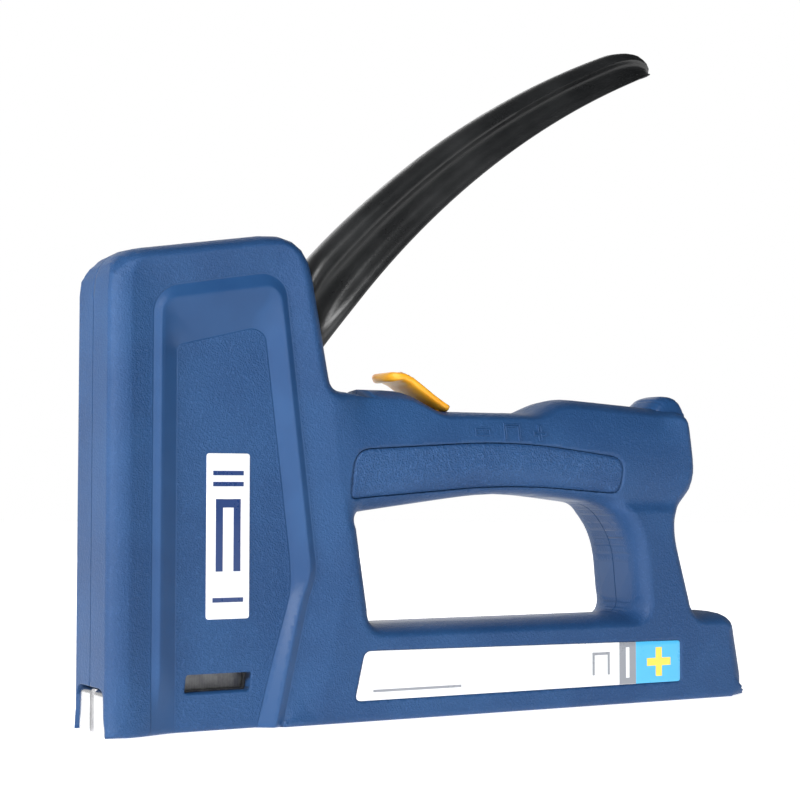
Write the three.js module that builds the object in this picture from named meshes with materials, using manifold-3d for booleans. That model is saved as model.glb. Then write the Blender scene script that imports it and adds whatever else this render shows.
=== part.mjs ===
// Hand staple gun with a squeeze lever. Millimetres, +Z up, +X from the nose to the rear.
// Lengths are measured from the front face of the nose, on the mid-plane, level with the underside.
// The finished group is then moved so that its origin is the middle of the steel sole.
import * as THREE from 'three';
import { mergeVertices } from 'three/addons/utils/BufferGeometryUtils.js';
import Module from 'manifold-3d';

const wasm = await Module();
wasm.setup();

// ---- driving dimensions of the body ----
const bodyWidth = 27.4;
const bodyLength = 200;
const headHeight = 120.5;      // crown height at the nose; the crown climbs from here to the rear
const headDepth = 57.5;        // nose to the rear face at the top of the head
const headLean = 0.17;         // run per rise of the leaning rear face
const crownSlope = 0.165;      // rise per run of the head's crown
const baseHeight = 25.2;
const gripTop = 88;
const gripBottom = 59;
const gripLength = 183;        // nose to the back of the grip
const postBack = 174.6;        // nose to the waist of the rear post
const holeBack = 161.5;        // nose to the rear of the hand hole
const edgeRound = 4;           // rounding between the outline and the side faces
const wall = 2.4;
const gap = 0.3;               // clearance between parts that meet
const seam = 0.16;             // half of the gap between the two shells
const through = 4;             // how far a cutter runs past a face

// ---- side relief, pads and labels ----
const panelDepth = 3.3;
const panelSlope = 4.6;
const padDepth = 1.8;
const labelDepth = 0.4;
const windowLength = 18;
const windowHeight = 4.7;
const windowPlace = [30.5, 12];
const skim = 0.01;             // a cutter's stand-off, so that no face lies exactly on another

// ---- lever ----
const pivot = [46, 90];
const leverCrownHalf = 7;
const leverLipHalf = 9.3;
const leverSlotPlay = 0.7;
const leverLipHeight = 4.6;
const leverSkin = 3.2;         // plastic above the hollow under the handle
const hubRadius = 8;
const pinRadius = 2.5;
const armReach = 30;           // pivot to roller
const armDroop = 35;           // degrees that the resting arm points below level
const armHalf = 3;
const rollerRadius = 1.6;
const armRivetRadius = 1.7;
const rivetPlaces = [[12.5, 17.5], [23, 29.5]];

// ---- striking parts ----
const driverThickness = 1.2;
const driverWidth = 10.4;
const driverFront = 5.2;
const plungerDepth = 17.4;
const plungerTopWall = 4;
const bumperHeight = 8;
const springRadius = 6;
const springWire = 2;
const springTurns = 5;

// ---- magazine ----
const stapleCrown = 10.8;
const stapleWire = 0.7;
const stapleLeg = 10;
const stripLength = 52;
const channelSheet = 1;
const railSheet = 0.9;
const channelTop = 17;
const pusherLength = 14;
const rodRadius = 1;
const rodHeight = 7.4;

// ---- screws ----
const screwRadius = 1.5;
const screwHeadRadius = 3;
const screwHeadHeight = 2.2;
const bossRadius = 4;

// ---- steel nose ----
const noseSheet = 1.5;
const noseSheetTop = 30;
const noseFlangeBack = 14.2;
const noseBlockHeight = 11.4;
const noseBlockFront = 0.6;
const noseGrooveHalf = 1.6;

const halfWidth = bodyWidth / 2;
// The hollow keeps its wall behind the sunk panels, and is never narrower than the lever's crown.
const innerHalf = Math.max(halfWidth - panelDepth - wall, leverCrownHalf + gap);
const rearFace = (z) => headDepth + headLean * (headHeight - z);
const crown = (x) => headHeight + crownSlope * x;

// ---- places that several parts share ----
const plungerFront = driverFront + driverThickness + 2.6;
const rollerX = pivot[0] - armReach * Math.cos(THREE.MathUtils.degToRad(armDroop));
const rollerZ = pivot[1] - armReach * Math.sin(THREE.MathUtils.degToRad(armDroop));
const rollerRun = armReach - (pivot[0] - rollerX);   // how far the roller moves forward as it rises
const plungerTop = rollerZ + rollerRadius + plungerTopWall;
const plungerBottom = rollerZ - 9.5;
const plungerHalf = innerHalf - 0.6;
const rivetHeights = [plungerBottom + 2.6, plungerTop - 3];
const bumperBottom = plungerBottom - gap - bumperHeight;

// ---- geometry helpers ----
function solid(geometry) {
  const bare = geometry.index ? geometry.toNonIndexed() : geometry.clone();
  bare.deleteAttribute('normal');
  bare.deleteAttribute('uv');
  const merged = mergeVertices(bare, 1e-4);
  return new wasm.Manifold(new wasm.Mesh({
    numProp: 3,
    vertProperties: new Float32Array(merged.attributes.position.array),
    triVerts: new Uint32Array(merged.index.array),
  }));
}

function toGeometry(manifold) {
  const mesh = manifold.getMesh();
  const geometry = new THREE.BufferGeometry();
  geometry.setAttribute('position', new THREE.BufferAttribute(mesh.vertProperties, 3));
  geometry.setIndex(new THREE.BufferAttribute(mesh.triVerts, 1));
  geometry.computeVertexNormals();
  return geometry;
}

// A closed side outline from corners [x, z, rounding]; a rounded corner becomes a short curve.
function outline(corners) {
  const shape = new THREE.Shape();
  const count = corners.length;
  corners.forEach(([x, z, rounding = 0], i) => {
    const corner = new THREE.Vector2(x, z);
    const before = new THREE.Vector2(...corners[(i + count - 1) % count]).sub(corner);
    const after = new THREE.Vector2(...corners[(i + 1) % count]).sub(corner);
    const reach = Math.min(rounding, before.length() / 2.1, after.length() / 2.1);
    const from = corner.clone().addScaledVector(before.normalize(), reach);
    const to = corner.clone().addScaledVector(after.normalize(), reach);
    if (i === 0) shape.moveTo(from.x, from.y);
    else shape.lineTo(from.x, from.y);
    if (reach > 0) shape.quadraticCurveTo(x, z, to.x, to.y);
  });
  shape.closePath();
  return shape;
}

// A slab of an XZ shape between two Y values; round eases both of its side faces.
function slab(shape, yLow, yHigh, round = 0, segments = 1, curve = 4) {
  const geometry = new THREE.ExtrudeGeometry(shape, {
    depth: yHigh - yLow - 2 * round,
    bevelEnabled: round > 0,
    bevelThickness: round,
    bevelSize: round,
    bevelOffset: -round,
    bevelSegments: segments,
    curveSegments: curve,
    steps: 1,
  });
  geometry.rotateX(Math.PI / 2);
  geometry.translate(0, yHigh - round, 0);
  return solid(geometry);
}

function box(x0, x1, y0, y1, z0, z1) {
  const geometry = new THREE.BoxGeometry(x1 - x0, y1 - y0, z1 - z0);
  geometry.translate((x0 + x1) / 2, (y0 + y1) / 2, (z0 + z1) / 2);
  return solid(geometry);
}

// A round bar along Y from yLow to yHigh at [x, z].
function crossBar([x, z], radius, yLow, yHigh, sides = 16) {
  const geometry = new THREE.CylinderGeometry(radius, radius, yHigh - yLow, sides);
  geometry.translate(x, (yLow + yHigh) / 2, z);
  return solid(geometry);
}

// A round bar along X from xLow to xHigh at height z.
function longBar(z, radius, xLow, xHigh, sides = 12) {
  const geometry = new THREE.CylinderGeometry(radius, radius, xHigh - xLow, sides);
  geometry.rotateZ(-Math.PI / 2);
  geometry.translate((xLow + xHigh) / 2, 0, z);
  return solid(geometry);
}

const joined = (...pieces) => pieces.reduce((sum, piece) => sum.add(piece));
const without = (body, ...cutters) => cutters.reduce((rest, cutter) => rest.subtract(cutter), body);
const mirrorY = (manifold) => manifold.mirror([0, 1, 0]);

// A coil spring of the given mean radius along +Z, starting at height zLow.
class Helix extends THREE.Curve {
  constructor(radius, length, turns) {
    super();
    Object.assign(this, { radius, length, turns });
  }

  getPoint(t, target = new THREE.Vector3()) {
    const angle = 2 * Math.PI * this.turns * t;
    return target.set(this.radius * Math.cos(angle), this.radius * Math.sin(angle), this.length * t);
  }
}

function coil(radius, wire, length, turns, stepsPerTurn = 10, sides = 6) {
  const section = new THREE.Shape();
  section.absarc(0, 0, wire / 2, 0, 2 * Math.PI, false);
  return new THREE.ExtrudeGeometry(section, {
    steps: Math.round(turns * stepsPerTurn),
    curveSegments: sides,
    bevelEnabled: false,
    extrudePath: new Helix(radius, length, turns),
  });
}

// ---- scene graph ----
const model = new THREE.Group();
const leverGroup = new THREE.Group();
leverGroup.position.set(pivot[0], 0, pivot[1]);
model.add(leverGroup);

function add(name, shape, look, parent = model) {
  const geometry = shape.isBufferGeometry ? shape : toGeometry(shape);
  const mesh = new THREE.Mesh(geometry, new THREE.MeshStandardMaterial(look));
  mesh.name = name;
  parent.add(mesh);
  return mesh;
}

const bluePlastic = { color: 0x2d5590, roughness: 0.55, metalness: 0 };
const blackPlastic = { color: 0x17181a, roughness: 0.42, metalness: 0 };
const yellowPlastic = { color: 0xf0a628, roughness: 0.4, metalness: 0 };
const blackRubber = { color: 0x1c1c1c, roughness: 0.85, metalness: 0 };
const brightSteel = { color: 0xc9cbcd, roughness: 0.22, metalness: 1 };
const darkSteel = { color: 0x5b5d60, roughness: 0.42, metalness: 1 };
const printedFilm = { color: 0xf0f1f4, roughness: 0.35, metalness: 0 };

// ---- outlines shared by the shells and what is set into them ----
const saddleFloor = gripTop - 5.4;
const saddleFront = 97;
const saddleBack = 127;
const slotHalf = leverLipHalf + leverSlotPlay;
const slotFront = pivot[0] + 4;
const slotTop = headHeight + 3.2;

function bodyOutline() {
  return outline([
    [0, -2 * edgeRound],
    [0, crown(0), 10],
    [rearFace(crown(headDepth)), crown(headDepth) - 0.5, 9],
    [rearFace(gripTop), gripTop, 2],
    [86.5, gripTop, 4],
    [saddleFront, saddleFloor, 2],
    [saddleBack, saddleFloor, 3],
    [saddleBack + 10.5, gripTop - 0.8, 6],
    [gripLength - 2.5, gripTop - 3.6, 5],
    [gripLength, 64, 7],
    [postBack, 54, 5],
    [postBack, 47, 6],
    [gripLength - 2.2, baseHeight - 0.4, 4],
    [bodyLength - 3.5, baseHeight - 0.6, 5],
    [bodyLength, 5, 3],
    [bodyLength - 1.5, -2 * edgeRound],
  ]);
}

function handHole() {
  return outline([
    [rearFace(baseHeight), baseHeight, 3],
    [holeBack, baseHeight, 4],
    [holeBack - 2, 46, 8],
    [holeBack - 10, gripBottom - 2.4, 6],
    [118, gripBottom + 1.6, 26],
    [rearFace(gripBottom - 4.5) + 0.5, gripBottom - 4.5, 3],
  ]);
}

function padOutline(shrink) {
  return outline([
    [rearFace(gripTop) + 3.5 + shrink, gripBottom + 4.2 + shrink, 2],
    [rearFace(gripTop) + 4.5 + shrink, gripTop - 16.5 - shrink, 5],
    [118, gripTop - 13.5 - shrink, 20],
    [holeBack - 6.5 - shrink, gripTop - 18 - shrink, 5],
    [holeBack - 9 - shrink, gripBottom + 2.6 + shrink, 4],
    [118, gripBottom + 6.6 + shrink, 20],
  ]);
}

function labelOutline(shrink) {
  return outline([
    [rearFace(0) - 10.5 + shrink, 5.4 + shrink, 2],
    [rearFace(0) - 7.5 + shrink, 18.6 - shrink, 2],
    [gripLength - 9 - shrink, 17.4 - shrink, 1],
    [gripLength - 9 - shrink, 5.4 + shrink, 1],
  ]);
}

// ---- what is taken out of the body ----
const panelRight = (z) => rearFace(z) - 12.5;
const panelTop = 97;
const panelFront = 18.6;
const panelFootRun = 14;       // how far the panel's rear edge runs forward below its knee
const panelKnee = 38;          // height of that knee

// The sloping pocket in one side of the head; its floor is the flat textured panel.
function panelCutter() {
  const rim = outline([
    [panelFront - panelSlope, -through],
    [panelFront - panelSlope, panelTop + 10.5],
    [panelRight(110) + panelSlope, panelTop + 16.5],
    [panelRight(panelKnee) + panelSlope, panelKnee],
    [panelRight(0) - panelFootRun + panelSlope, -through],
  ]);
  const geometry = new THREE.ExtrudeGeometry(rim, {
    depth: through,
    bevelEnabled: true,
    bevelThickness: panelDepth,
    bevelSize: panelSlope,
    bevelOffset: -panelSlope,
    bevelSegments: 1,
    curveSegments: 2,
  });
  geometry.rotateX(Math.PI / 2);
  geometry.translate(0, -halfWidth + skim, 0);
  return solid(geometry);
}

const screwPlaces = [
  [40, slotTop - 7],
  [25, 24],
  [rearFace(36) - 8, 36],
  [holeBack, 70.5],
  [holeBack + 5.5, 36],
];
const screwSeat = innerHalf + 0.2;
const screwBoss = (place) => crossBar(place, bossRadius, -halfWidth, halfWidth, 12);

const headHollowFront = 3.4;
const headHollowFloor = 31;

function headCavity() {
  const ceiling = edgeRound + wall + 0.5;
  const back = edgeRound + wall;
  const hollow = slab(outline([
    [headHollowFront, headHollowFloor],
    [headHollowFront, crown(0) - ceiling, 3],
    [rearFace(crown(headDepth)) - back, crown(headDepth) - ceiling, 3],
    [rearFace(headHollowFloor) - back, headHollowFloor],
  ]), -innerHalf, innerHalf);
  const bosses = screwPlaces.slice(0, 3).map((place) => screwBoss(place));
  const shelf = box(plungerFront + 0.4, 34, -halfWidth, halfWidth, bumperBottom - 8, bumperBottom - gap);
  return without(hollow, shelf, ...bosses);
}

function gripCavity() {
  const half = halfWidth - padDepth - wall;
  const hollow = slab(outline([
    [rearFace(gripTop) + 6, gripBottom + 6],
    [rearFace(gripTop) + 6, gripTop - 9.5],
    [gripLength - 13, gripTop - 9.5],
    [gripLength - 13, gripBottom + 6],
  ]), -half, half);
  return without(hollow, screwBoss(screwPlaces[3]));
}

const channelHalf = stapleCrown / 2 + gap + channelSheet;
const channelFront = driverFront + driverThickness + 0.8;
const channelBack = bodyLength - 15;

function baseCavities() {
  const slotWidth = channelHalf + gap;
  const bays = [];
  const bayFront = rearFace(0) - 8;
  const bayCount = 4;
  const bayPitch = (bodyLength - 14 - bayFront) / bayCount;
  for (let i = 0; i < bayCount; i += 1) {
    const start = bayFront + i * bayPitch;
    const half = halfWidth - wall - labelDepth;
    bays.push(box(start, start + bayPitch - 3, -half, half, wall, channelTop + gap));
  }
  const end = bodyLength + through;
  const channelWay = box(channelFront - gap, end, -slotWidth, slotWidth, -through, channelTop + gap);
  return [channelWay, ...bays];
}

const noseFlange = channelHalf + gap;
const noseHalf = noseFlange + noseSheet;
const noseBlockHalf = halfWidth - 3;
const noseBack = driverFront - gap;
const soleMiddle = (noseBlockFront + noseBack) / 2;

function noseCavities() {
  return [
    box(
      noseBack - noseSheet - gap,
      noseFlangeBack + 0.4,
      -noseHalf - gap,
      noseHalf + gap,
      -through,
      noseSheetTop + 1.5,
    ),
    slab(outline([
      [-through, -through],
      [-through, noseBlockHeight + gap],
      [5.2, noseBlockHeight + gap, 1],
      [5.8, -through],
    ]), -noseBlockHalf - gap, noseBlockHalf + gap),
  ];
}

const selectorTravel = 19;
const selectorFront = saddleFront + 1.6;
const selectorStem = 3;
const selectorHalf = 3.2;

function controlCavities() {
  return [
    box(slotFront, rearFace(gripTop) + 5, -slotHalf, slotHalf, gripTop - 3.6, slotTop),
    box(
      selectorFront - gap,
      selectorFront + selectorStem + selectorTravel + gap,
      -selectorHalf - gap,
      selectorHalf + gap,
      gripTop - 12,
      gripTop,
    ),
    box(slotFront - 2, rearFace(gripTop) + 8, -4.3, 4.3, gripTop - 21.5, gripTop - 14.5),
  ];
}

function windowOutline(shrink) {
  const [x, z] = windowPlace;
  const long = windowLength / 2 - shrink;
  const high = windowHeight / 2 - shrink;
  return outline([
    [x - long - 0.5, z - high, 0.8],
    [x - long, z + high, 0.8],
    [x + long, z + high, 0.8],
    [x + long - 0.5, z - high, 0.8],
  ]);
}

// The whole body before it is split at the seam.
function bodyBlank() {
  const shape = bodyOutline();
  shape.holes.push(handHole());
  const blank = slab(shape, -halfWidth, halfWidth, edgeRound, 3, 5);
  const ridge = slab(outline([
    [gripLength - 13.5, gripTop - 6],
    [gripLength - 9.5, gripTop + 0.7, 2.5],
    [gripLength - 4, gripTop + 0.7, 2.5],
    [gripLength - 0.6, gripTop - 7],
  ]), -9, 9, 1.2);
  const under = box(-through, bodyLength + through, -bodyWidth, bodyWidth, -4 * edgeRound, 0);
  return without(
    blank.add(ridge),
    under,
    panelCutter(),
    mirrorY(panelCutter()),
    slab(padOutline(0), -halfWidth - through, -halfWidth + padDepth),
    slab(padOutline(0), halfWidth - padDepth, halfWidth + through),
    slab(labelOutline(0), -halfWidth - through, -halfWidth + labelDepth),
    slab(labelOutline(0), halfWidth - labelDepth, halfWidth + through),
    slab(windowOutline(0), -halfWidth - through, halfWidth + through),
    headCavity(),
    gripCavity(),
    ...baseCavities(),
    ...noseCavities(),
    ...controlCavities(),
    crossBar(pivot, pinRadius + gap / 2, -innerHalf - 1.4, innerHalf + 1.4),
  );
}

function shells() {
  const blank = bodyBlank();
  const left = without(
    blank,
    box(-bodyLength, 2 * bodyLength, -seam, bodyWidth, -bodyLength, 2 * bodyLength),
    ...screwPlaces.map((place) => crossBar(place, screwRadius + gap, -innerHalf - 0.6, 0, 12)),
  );
  const right = without(
    blank,
    box(-bodyLength, 2 * bodyLength, -bodyWidth, seam, -bodyLength, 2 * bodyLength),
    ...screwPlaces.map((place) => crossBar(place, screwRadius + gap, -1, screwSeat + 1, 12)),
    ...screwPlaces.map((place) => crossBar(place, screwHeadRadius + gap, screwSeat, bodyWidth, 16)),
  );
  add('left_shell', left, bluePlastic);
  add('right_shell', right, bluePlastic);
}

function badgeOutline() {
  const [left, right] = [26.7, 38.6];
  const [low, high] = [28, 70];
  return outline([[left, low, 1], [left, high, 1], [right, high, 1], [right, low, 1]]);
}

function sidePieces() {
  const sides = { left: (piece) => piece, right: mirrorY };
  for (const [side, place] of Object.entries(sides)) {
    const pad = slab(padOutline(gap), -halfWidth + 0.1, -halfWidth + padDepth - gap, 0.5);
    add(`${side}_grip_pad`, place(pad), { ...bluePlastic, roughness: 0.75 });
    const film = slab(labelOutline(0.2), -halfWidth, -halfWidth + labelDepth - 0.12);
    add(`${side}_label`, place(film), printedFilm);
    const badgeFace = -halfWidth + panelDepth;
    const badge = slab(badgeOutline(), badgeFace - 0.6, badgeFace - 0.3);
    add(`${side}_badge`, place(badge), printedFilm);
  }
}

function shellScrews() {
  screwPlaces.forEach(([x, z], i) => {
    const profile = [
      [0, 0],
      [screwHeadRadius, 0],
      [screwHeadRadius, -1],
      [screwRadius, -screwHeadHeight],
      [screwRadius, -screwHeadHeight - screwSeat - innerHalf + 0.8],
      [0, -screwHeadHeight - screwSeat - innerHalf + 0.2],
    ].reverse().map(([r, y]) => new THREE.Vector2(r, y));
    const screw = new THREE.LatheGeometry(profile, 14);
    const mesh = add(`shell_screw_${i + 1}`, screw, darkSteel);
    mesh.position.set(x, screwSeat + gap + screwHeadHeight, z);
  });
}

// ---- nose and striking parts ----
function nosePlate() {
  const front = noseBack - noseSheet;
  const cover = box(front, noseBack, -noseHalf, noseHalf, 0, noseSheetTop);
  const block = slab(outline([
    [noseBlockFront, 0],
    [noseBlockFront, noseBlockHeight, 1.5],
    [noseBack, noseBlockHeight],
    [noseBack, 0],
  ]), -noseBlockHalf, noseBlockHalf);
  const groove = box(
    -through,
    noseBlockFront + 0.6,
    -noseGrooveHalf,
    noseGrooveHalf,
    -through,
    noseBlockHeight + through,
  );
  const flange = box(front, noseFlangeBack, noseFlange, noseHalf, 0, noseSheetTop);
  add('nose_plate', without(joined(cover, block, flange, mirrorY(flange)), groove), brightSteel);
}

function plunger() {
  const back = plungerFront + plungerDepth;
  const lugHalf = 3.6;
  const lugFront = driverFront + driverThickness + gap;
  const block = box(plungerFront, back, -plungerHalf, plungerHalf, plungerBottom, plungerTop);
  const lug = box(lugFront, plungerFront + 1, -lugHalf, lugHalf, plungerBottom, plungerTop);
  const slotHalfWidth = armHalf + 2 * gap;
  const open = back + through;
  const below = plungerBottom - through;
  const armSlot = box(plungerFront + 2.4, open, -slotHalfWidth, slotHalfWidth, below, plungerTop - 1.4);
  const rearSlot = box(rollerX + 0.6, open, -slotHalfWidth, slotHalfWidth, below, plungerTop + through);
  const rollerSlot = box(
    rollerX - rollerRadius - rollerRun - 0.8,
    rollerX + rollerRadius + 0.8,
    -halfWidth,
    halfWidth,
    rollerZ - rollerRadius - 0.9,
    rollerZ + rollerRadius + 0.9,
  );
  const rivetHoles = rivetHeights.map((z) => longBar(z, 1.2 + gap, 0, plungerFront + 1.6));
  add('plunger', without(block.add(lug), armSlot, rearSlot, rollerSlot, ...rivetHoles), darkSteel);
}

function driver() {
  const half = driverWidth / 2;
  const blade = box(driverFront, driverFront + driverThickness, -half, half, 0.8, plungerTop);
  const holes = rivetHeights.map((z) => longBar(z, 1.2 + gap, 0, plungerFront));
  add('driver_blade', without(blade, ...holes), brightSteel);
  rivetHeights.forEach((z, i) => {
    add(`driver_rivet_${i + 1}`, longBar(z, 1.2, driverFront + 0.05, plungerFront + 1.3), brightSteel);
  });
}

const springX = plungerFront + 3 + springRadius + springWire / 2;
const springBottom = plungerTop + 0.4 + springWire / 2;
const springCeiling = crown(springX) - edgeRound - wall - 3.4;

function mainSpring() {
  const length = springCeiling - 2.6 - springBottom - springWire / 2;
  const spring = coil(springRadius, springWire, length, springTurns);
  spring.translate(springX, 0, springBottom);
  add('main_spring', spring, darkSteel);
  const cap = slab(outline([
    [springX - 8.4, springCeiling - 2],
    [springX - 8.4, springCeiling - 0.8],
    [springX + 8.4, springCeiling - 0.2],
    [springX + 8.4, springCeiling - 2],
  ]), -innerHalf + gap, innerHalf - gap);
  const spigotRadius = springRadius - springWire / 2 - 0.5;
  const spigot = new THREE.CylinderGeometry(spigotRadius, spigotRadius - 0.4, 5, 14);
  spigot.rotateX(Math.PI / 2);
  spigot.translate(springX, 0, springCeiling - 4.2);
  add('spring_cap', joined(cap, solid(spigot)), blackPlastic);
}

function bumper() {
  const pad = slab(outline([
    [plungerFront + 1, bumperBottom],
    [plungerFront + 1, plungerBottom - gap, 1.5],
    [plungerFront + plungerDepth - 1, plungerBottom - gap, 1.5],
    [plungerFront + plungerDepth - 1, bumperBottom],
  ]), -plungerHalf + 0.4, plungerHalf - 0.4);
  add('bumper', pad, blackRubber);
}

// ---- lever, in the frame of its pivot ----
// Points along the circular arc through three points.
function arcPoints(a, b, c, count) {
  const square = ([x, z]) => x * x + z * z;
  const twice = 2 * (a[0] * (b[1] - c[1]) + b[0] * (c[1] - a[1]) + c[0] * (a[1] - b[1]));
  const x = (square(a) * (b[1] - c[1]) + square(b) * (c[1] - a[1]) + square(c) * (a[1] - b[1])) / twice;
  const z = (square(a) * (c[0] - b[0]) + square(b) * (a[0] - c[0]) + square(c) * (b[0] - a[0])) / twice;
  const radius = Math.hypot(a[0] - x, a[1] - z);
  const start = Math.atan2(a[1] - z, a[0] - x);
  const end = Math.atan2(c[1] - z, c[0] - x);
  return Array.from({ length: count + 1 }, (_, i) => {
    const angle = start + ((end - start) * i) / count;
    return [x + radius * Math.cos(angle), z + radius * Math.sin(angle)];
  });
}

const leverUpper = [[14.1, 32.6], [59.4, 71.1], [112, 99.6]];
const leverLower = [[14.6, 8], [60, 55.6], [119, 91.8]];
const leverTip = [127.4, 95.8];

// The handle rises at about this direction, so a lift across it goes back and up.
const across = ([x, z], lift) => [x - 0.6 * lift, z + 0.8 * lift];
const leverSteps = 12;

function leverOutline(drop) {
  const [a, b, c] = leverUpper.map((point) => across(point, -drop));
  const [d, e, f] = leverLower;
  return { upper: arcPoints(a, b, c, leverSteps), lower: arcPoints(f, e, d, leverSteps) };
}

function handle() {
  const skin = leverOutline(0);
  const crownShape = outline([
    [-2, hubRadius - 0.6],
    ...skin.upper,
    [119, 100.6],
    [124.5, 99],
    [leverTip[0], leverTip[1]],
    [leverTip[0] - 3, leverTip[1] - 2.6],
    ...skin.lower,
    [7, -5],
    [2, -hubRadius + 1],
    [-4, -hubRadius + 1],
    [-hubRadius + 1, -3],
    [-hubRadius + 1, 3],
  ]);
  const lipUpper = arcPoints(...leverLower.map((point) => across(point, leverLipHeight)), leverSteps);
  const lipShape = outline([
    ...lipUpper,
    [leverTip[0] - 1, leverTip[1]],
    [leverTip[0] - 3, leverTip[1] - 2.6],
    ...skin.lower,
  ]);
  const inside = leverOutline(leverSkin);
  const hollowShape = outline([
    [3, 12],
    ...inside.upper.slice(0, -1),
    [leverTip[0] - 9, leverTip[1] - 6],
    [leverTip[0] - 9, leverTip[1] - 20],
    [20, -16],
    [-12, -16],
    [-12, 12],
  ]);
  const body = joined(
    slab(crownShape, -leverCrownHalf, leverCrownHalf, 2, 2, 3),
    slab(lipShape, -leverLipHalf, leverLipHalf, 0.8, 1, 3),
  );
  return without(
    body,
    slab(hollowShape, -leverCrownHalf + 2.6, leverCrownHalf - 2.6),
    crossBar([0, 0], pinRadius + gap, -halfWidth, halfWidth),
    ...rivetPlaces.map((place) => crossBar(place, armRivetRadius + gap, -halfWidth, halfWidth, 12)),
  );
}

// Steel rocker: roller boss in front, hub on the pivot, tail riveted between the handle's cheeks.
function leverArm() {
  const front = [rollerX - pivot[0], rollerZ - pivot[1]];
  const springBack = springX + springRadius + springWire / 2 - pivot[0];
  const bend = Math.max(front[0] + 5, springBack + gap);   // the arm rises only behind the spring
  const shape = outline([
    [front[0] - 3.6, front[1] - 3.6, 3],
    [front[0] - 3.6, front[1] + 2.8, 2],
    [bend, front[1] + 3.8, 2],
    [-8, 3, 3],
    [4, 12],
    [19, 31, 3],
    [26, 33, 3],
    [28, 27, 3],
    [8, -3, 6],
    [0, -7, 4],
    [front[0] + 8, front[1] - 2, 4],
  ]);
  return without(
    slab(shape, -armHalf, armHalf),
    crossBar([0, 0], pinRadius + gap, -halfWidth, halfWidth),
    crossBar(front, rollerRadius + gap, -halfWidth, halfWidth, 12),
    ...rivetPlaces.map((place) => crossBar(place, armRivetRadius + gap, -halfWidth, halfWidth, 12)),
  );
}

function lever() {
  add('lever_handle', handle(), blackPlastic, leverGroup);
  add('lever_arm', leverArm(), darkSteel, leverGroup);
  const reach = plungerHalf - 0.2;
  const roller = crossBar([rollerX - pivot[0], rollerZ - pivot[1]], rollerRadius, -reach, reach, 12);
  add('arm_roller', roller, brightSteel, leverGroup);
  rivetPlaces.forEach((place, i) => {
    const rivet = crossBar(place, armRivetRadius, -leverCrownHalf + 0.1, leverCrownHalf - 0.1, 12);
    add(`arm_rivet_${i + 1}`, rivet, brightSteel, leverGroup);
  });
  add('lever_pin', crossBar(pivot, pinRadius, -innerHalf - 1.1, innerHalf + 1.1), brightSteel);
}

// ---- power selector on top of the grip ----
const barHeight = 4;
const barHalf = 3.2;
const barBottom = gripTop - 20;

function selector() {
  const tongue = slab(outline([
    [82, gripTop + 2, 1],
    [82, gripTop + 4.2, 2],
    [88.5, gripTop + 4.2, 4],
    [selectorFront + 1, saddleFloor + 2.6, 1],
    [selectorFront + selectorStem, saddleFloor + 1.6],
    [selectorFront + selectorStem, saddleFloor - 1],
    [selectorFront, saddleFloor - 1],
    [selectorFront, saddleFloor + 0.6],
    [87.5, gripTop + 1.9, 3],
  ]), -7.5, 7.5, 0.6);
  const stemOnly = box(60, 120, -7.5, 7.5, gripTop - 14, saddleFloor + gap);
  const stem = box(
    selectorFront,
    selectorFront + selectorStem,
    -selectorHalf,
    selectorHalf,
    gripTop - 12.6,
    saddleFloor + 2,
  );
  add('power_selector', joined(without(tongue, stemOnly), stem), yellowPlastic);
  const stemBack = selectorFront + selectorStem;
  const hookHalf = 2.6;
  const bar = box(slotFront + 0.5, stemBack + 3, -barHalf, barHalf, barBottom, barBottom + barHeight);
  const hook = box(selectorFront - 2.4, stemBack + 2.4, -hookHalf, hookHalf, barBottom, gripTop - 12.9);
  add('power_bar', joined(bar, hook), darkSteel);
}

// ---- magazine ----
const railHalf = stapleCrown / 2 - stapleWire - gap;
const railTop = channelTop - channelSheet - gap - stapleWire - gap;
const stapleTop = channelTop - channelSheet - gap;

function magazineChannel() {
  const outer = box(channelFront, channelBack, -channelHalf, channelHalf, 0.4, channelTop);
  const inner = box(
    channelFront - through,
    channelBack + through,
    -channelHalf + channelSheet,
    channelHalf - channelSheet,
    -through,
    channelTop - channelSheet,
  );
  const window = slab(windowOutline(0.4), -halfWidth, halfWidth);
  add('magazine_channel', without(outer, inner, window), brightSteel);
}

function magazineRail() {
  const end = channelBack + 4;
  const outer = box(channelFront + 0.2, end, -railHalf, railHalf, 0.8, railTop);
  const insideHalf = railHalf - railSheet;
  const inner = box(channelFront + 1.2, end - 2, -insideHalf, insideHalf, -through, railTop - railSheet);
  const slot = box(channelFront + 3, channelBack - 4, -1.7, 1.7, railTop - 3, railTop + through);
  add('magazine_rail', without(outer, inner, slot), brightSteel);
}

const capFront = channelBack + 4.3;
const catchWidth = 8;

function magazineCap() {
  const half = channelHalf - 0.1;
  const block = slab(outline([
    [capFront, 0.4],
    [capFront, channelTop - 0.2],
    [bodyLength - 1.6, channelTop - 0.2, 1.5],
    [bodyLength + 0.4, 4, 1.5],
    [bodyLength - 0.6, 0.4, 1],
  ]), -half, half, 0.5);
  const pocketHalf = catchWidth / 2 + gap;
  const pocket = box(bodyLength - 6, bodyLength + through, -pocketHalf, pocketHalf, 7, 13);
  add('magazine_cap', without(block, pocket), blackPlastic);
  const button = slab(outline([
    [bodyLength - 3.4, 7.3],
    [bodyLength - 3.4, 12.7],
    [bodyLength + 0.6, 12.7, 1],
    [bodyLength + 1, 7.3, 1],
  ]), -catchWidth / 2, catchWidth / 2);
  add('magazine_catch', button, yellowPlastic);
}

// A piece with the section of a staple, legs down, that straddles the rail.
function straddle(start, length) {
  const half = stapleCrown / 2;
  const outer = box(start, start + length, -half, half, stapleTop - stapleLeg, stapleTop);
  const inner = box(
    start - through,
    start + length + through,
    -half + stapleWire,
    half - stapleWire,
    -through,
    stapleTop - stapleWire,
  );
  return without(outer, inner);
}

const stripFront = channelFront + 0.1;

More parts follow.
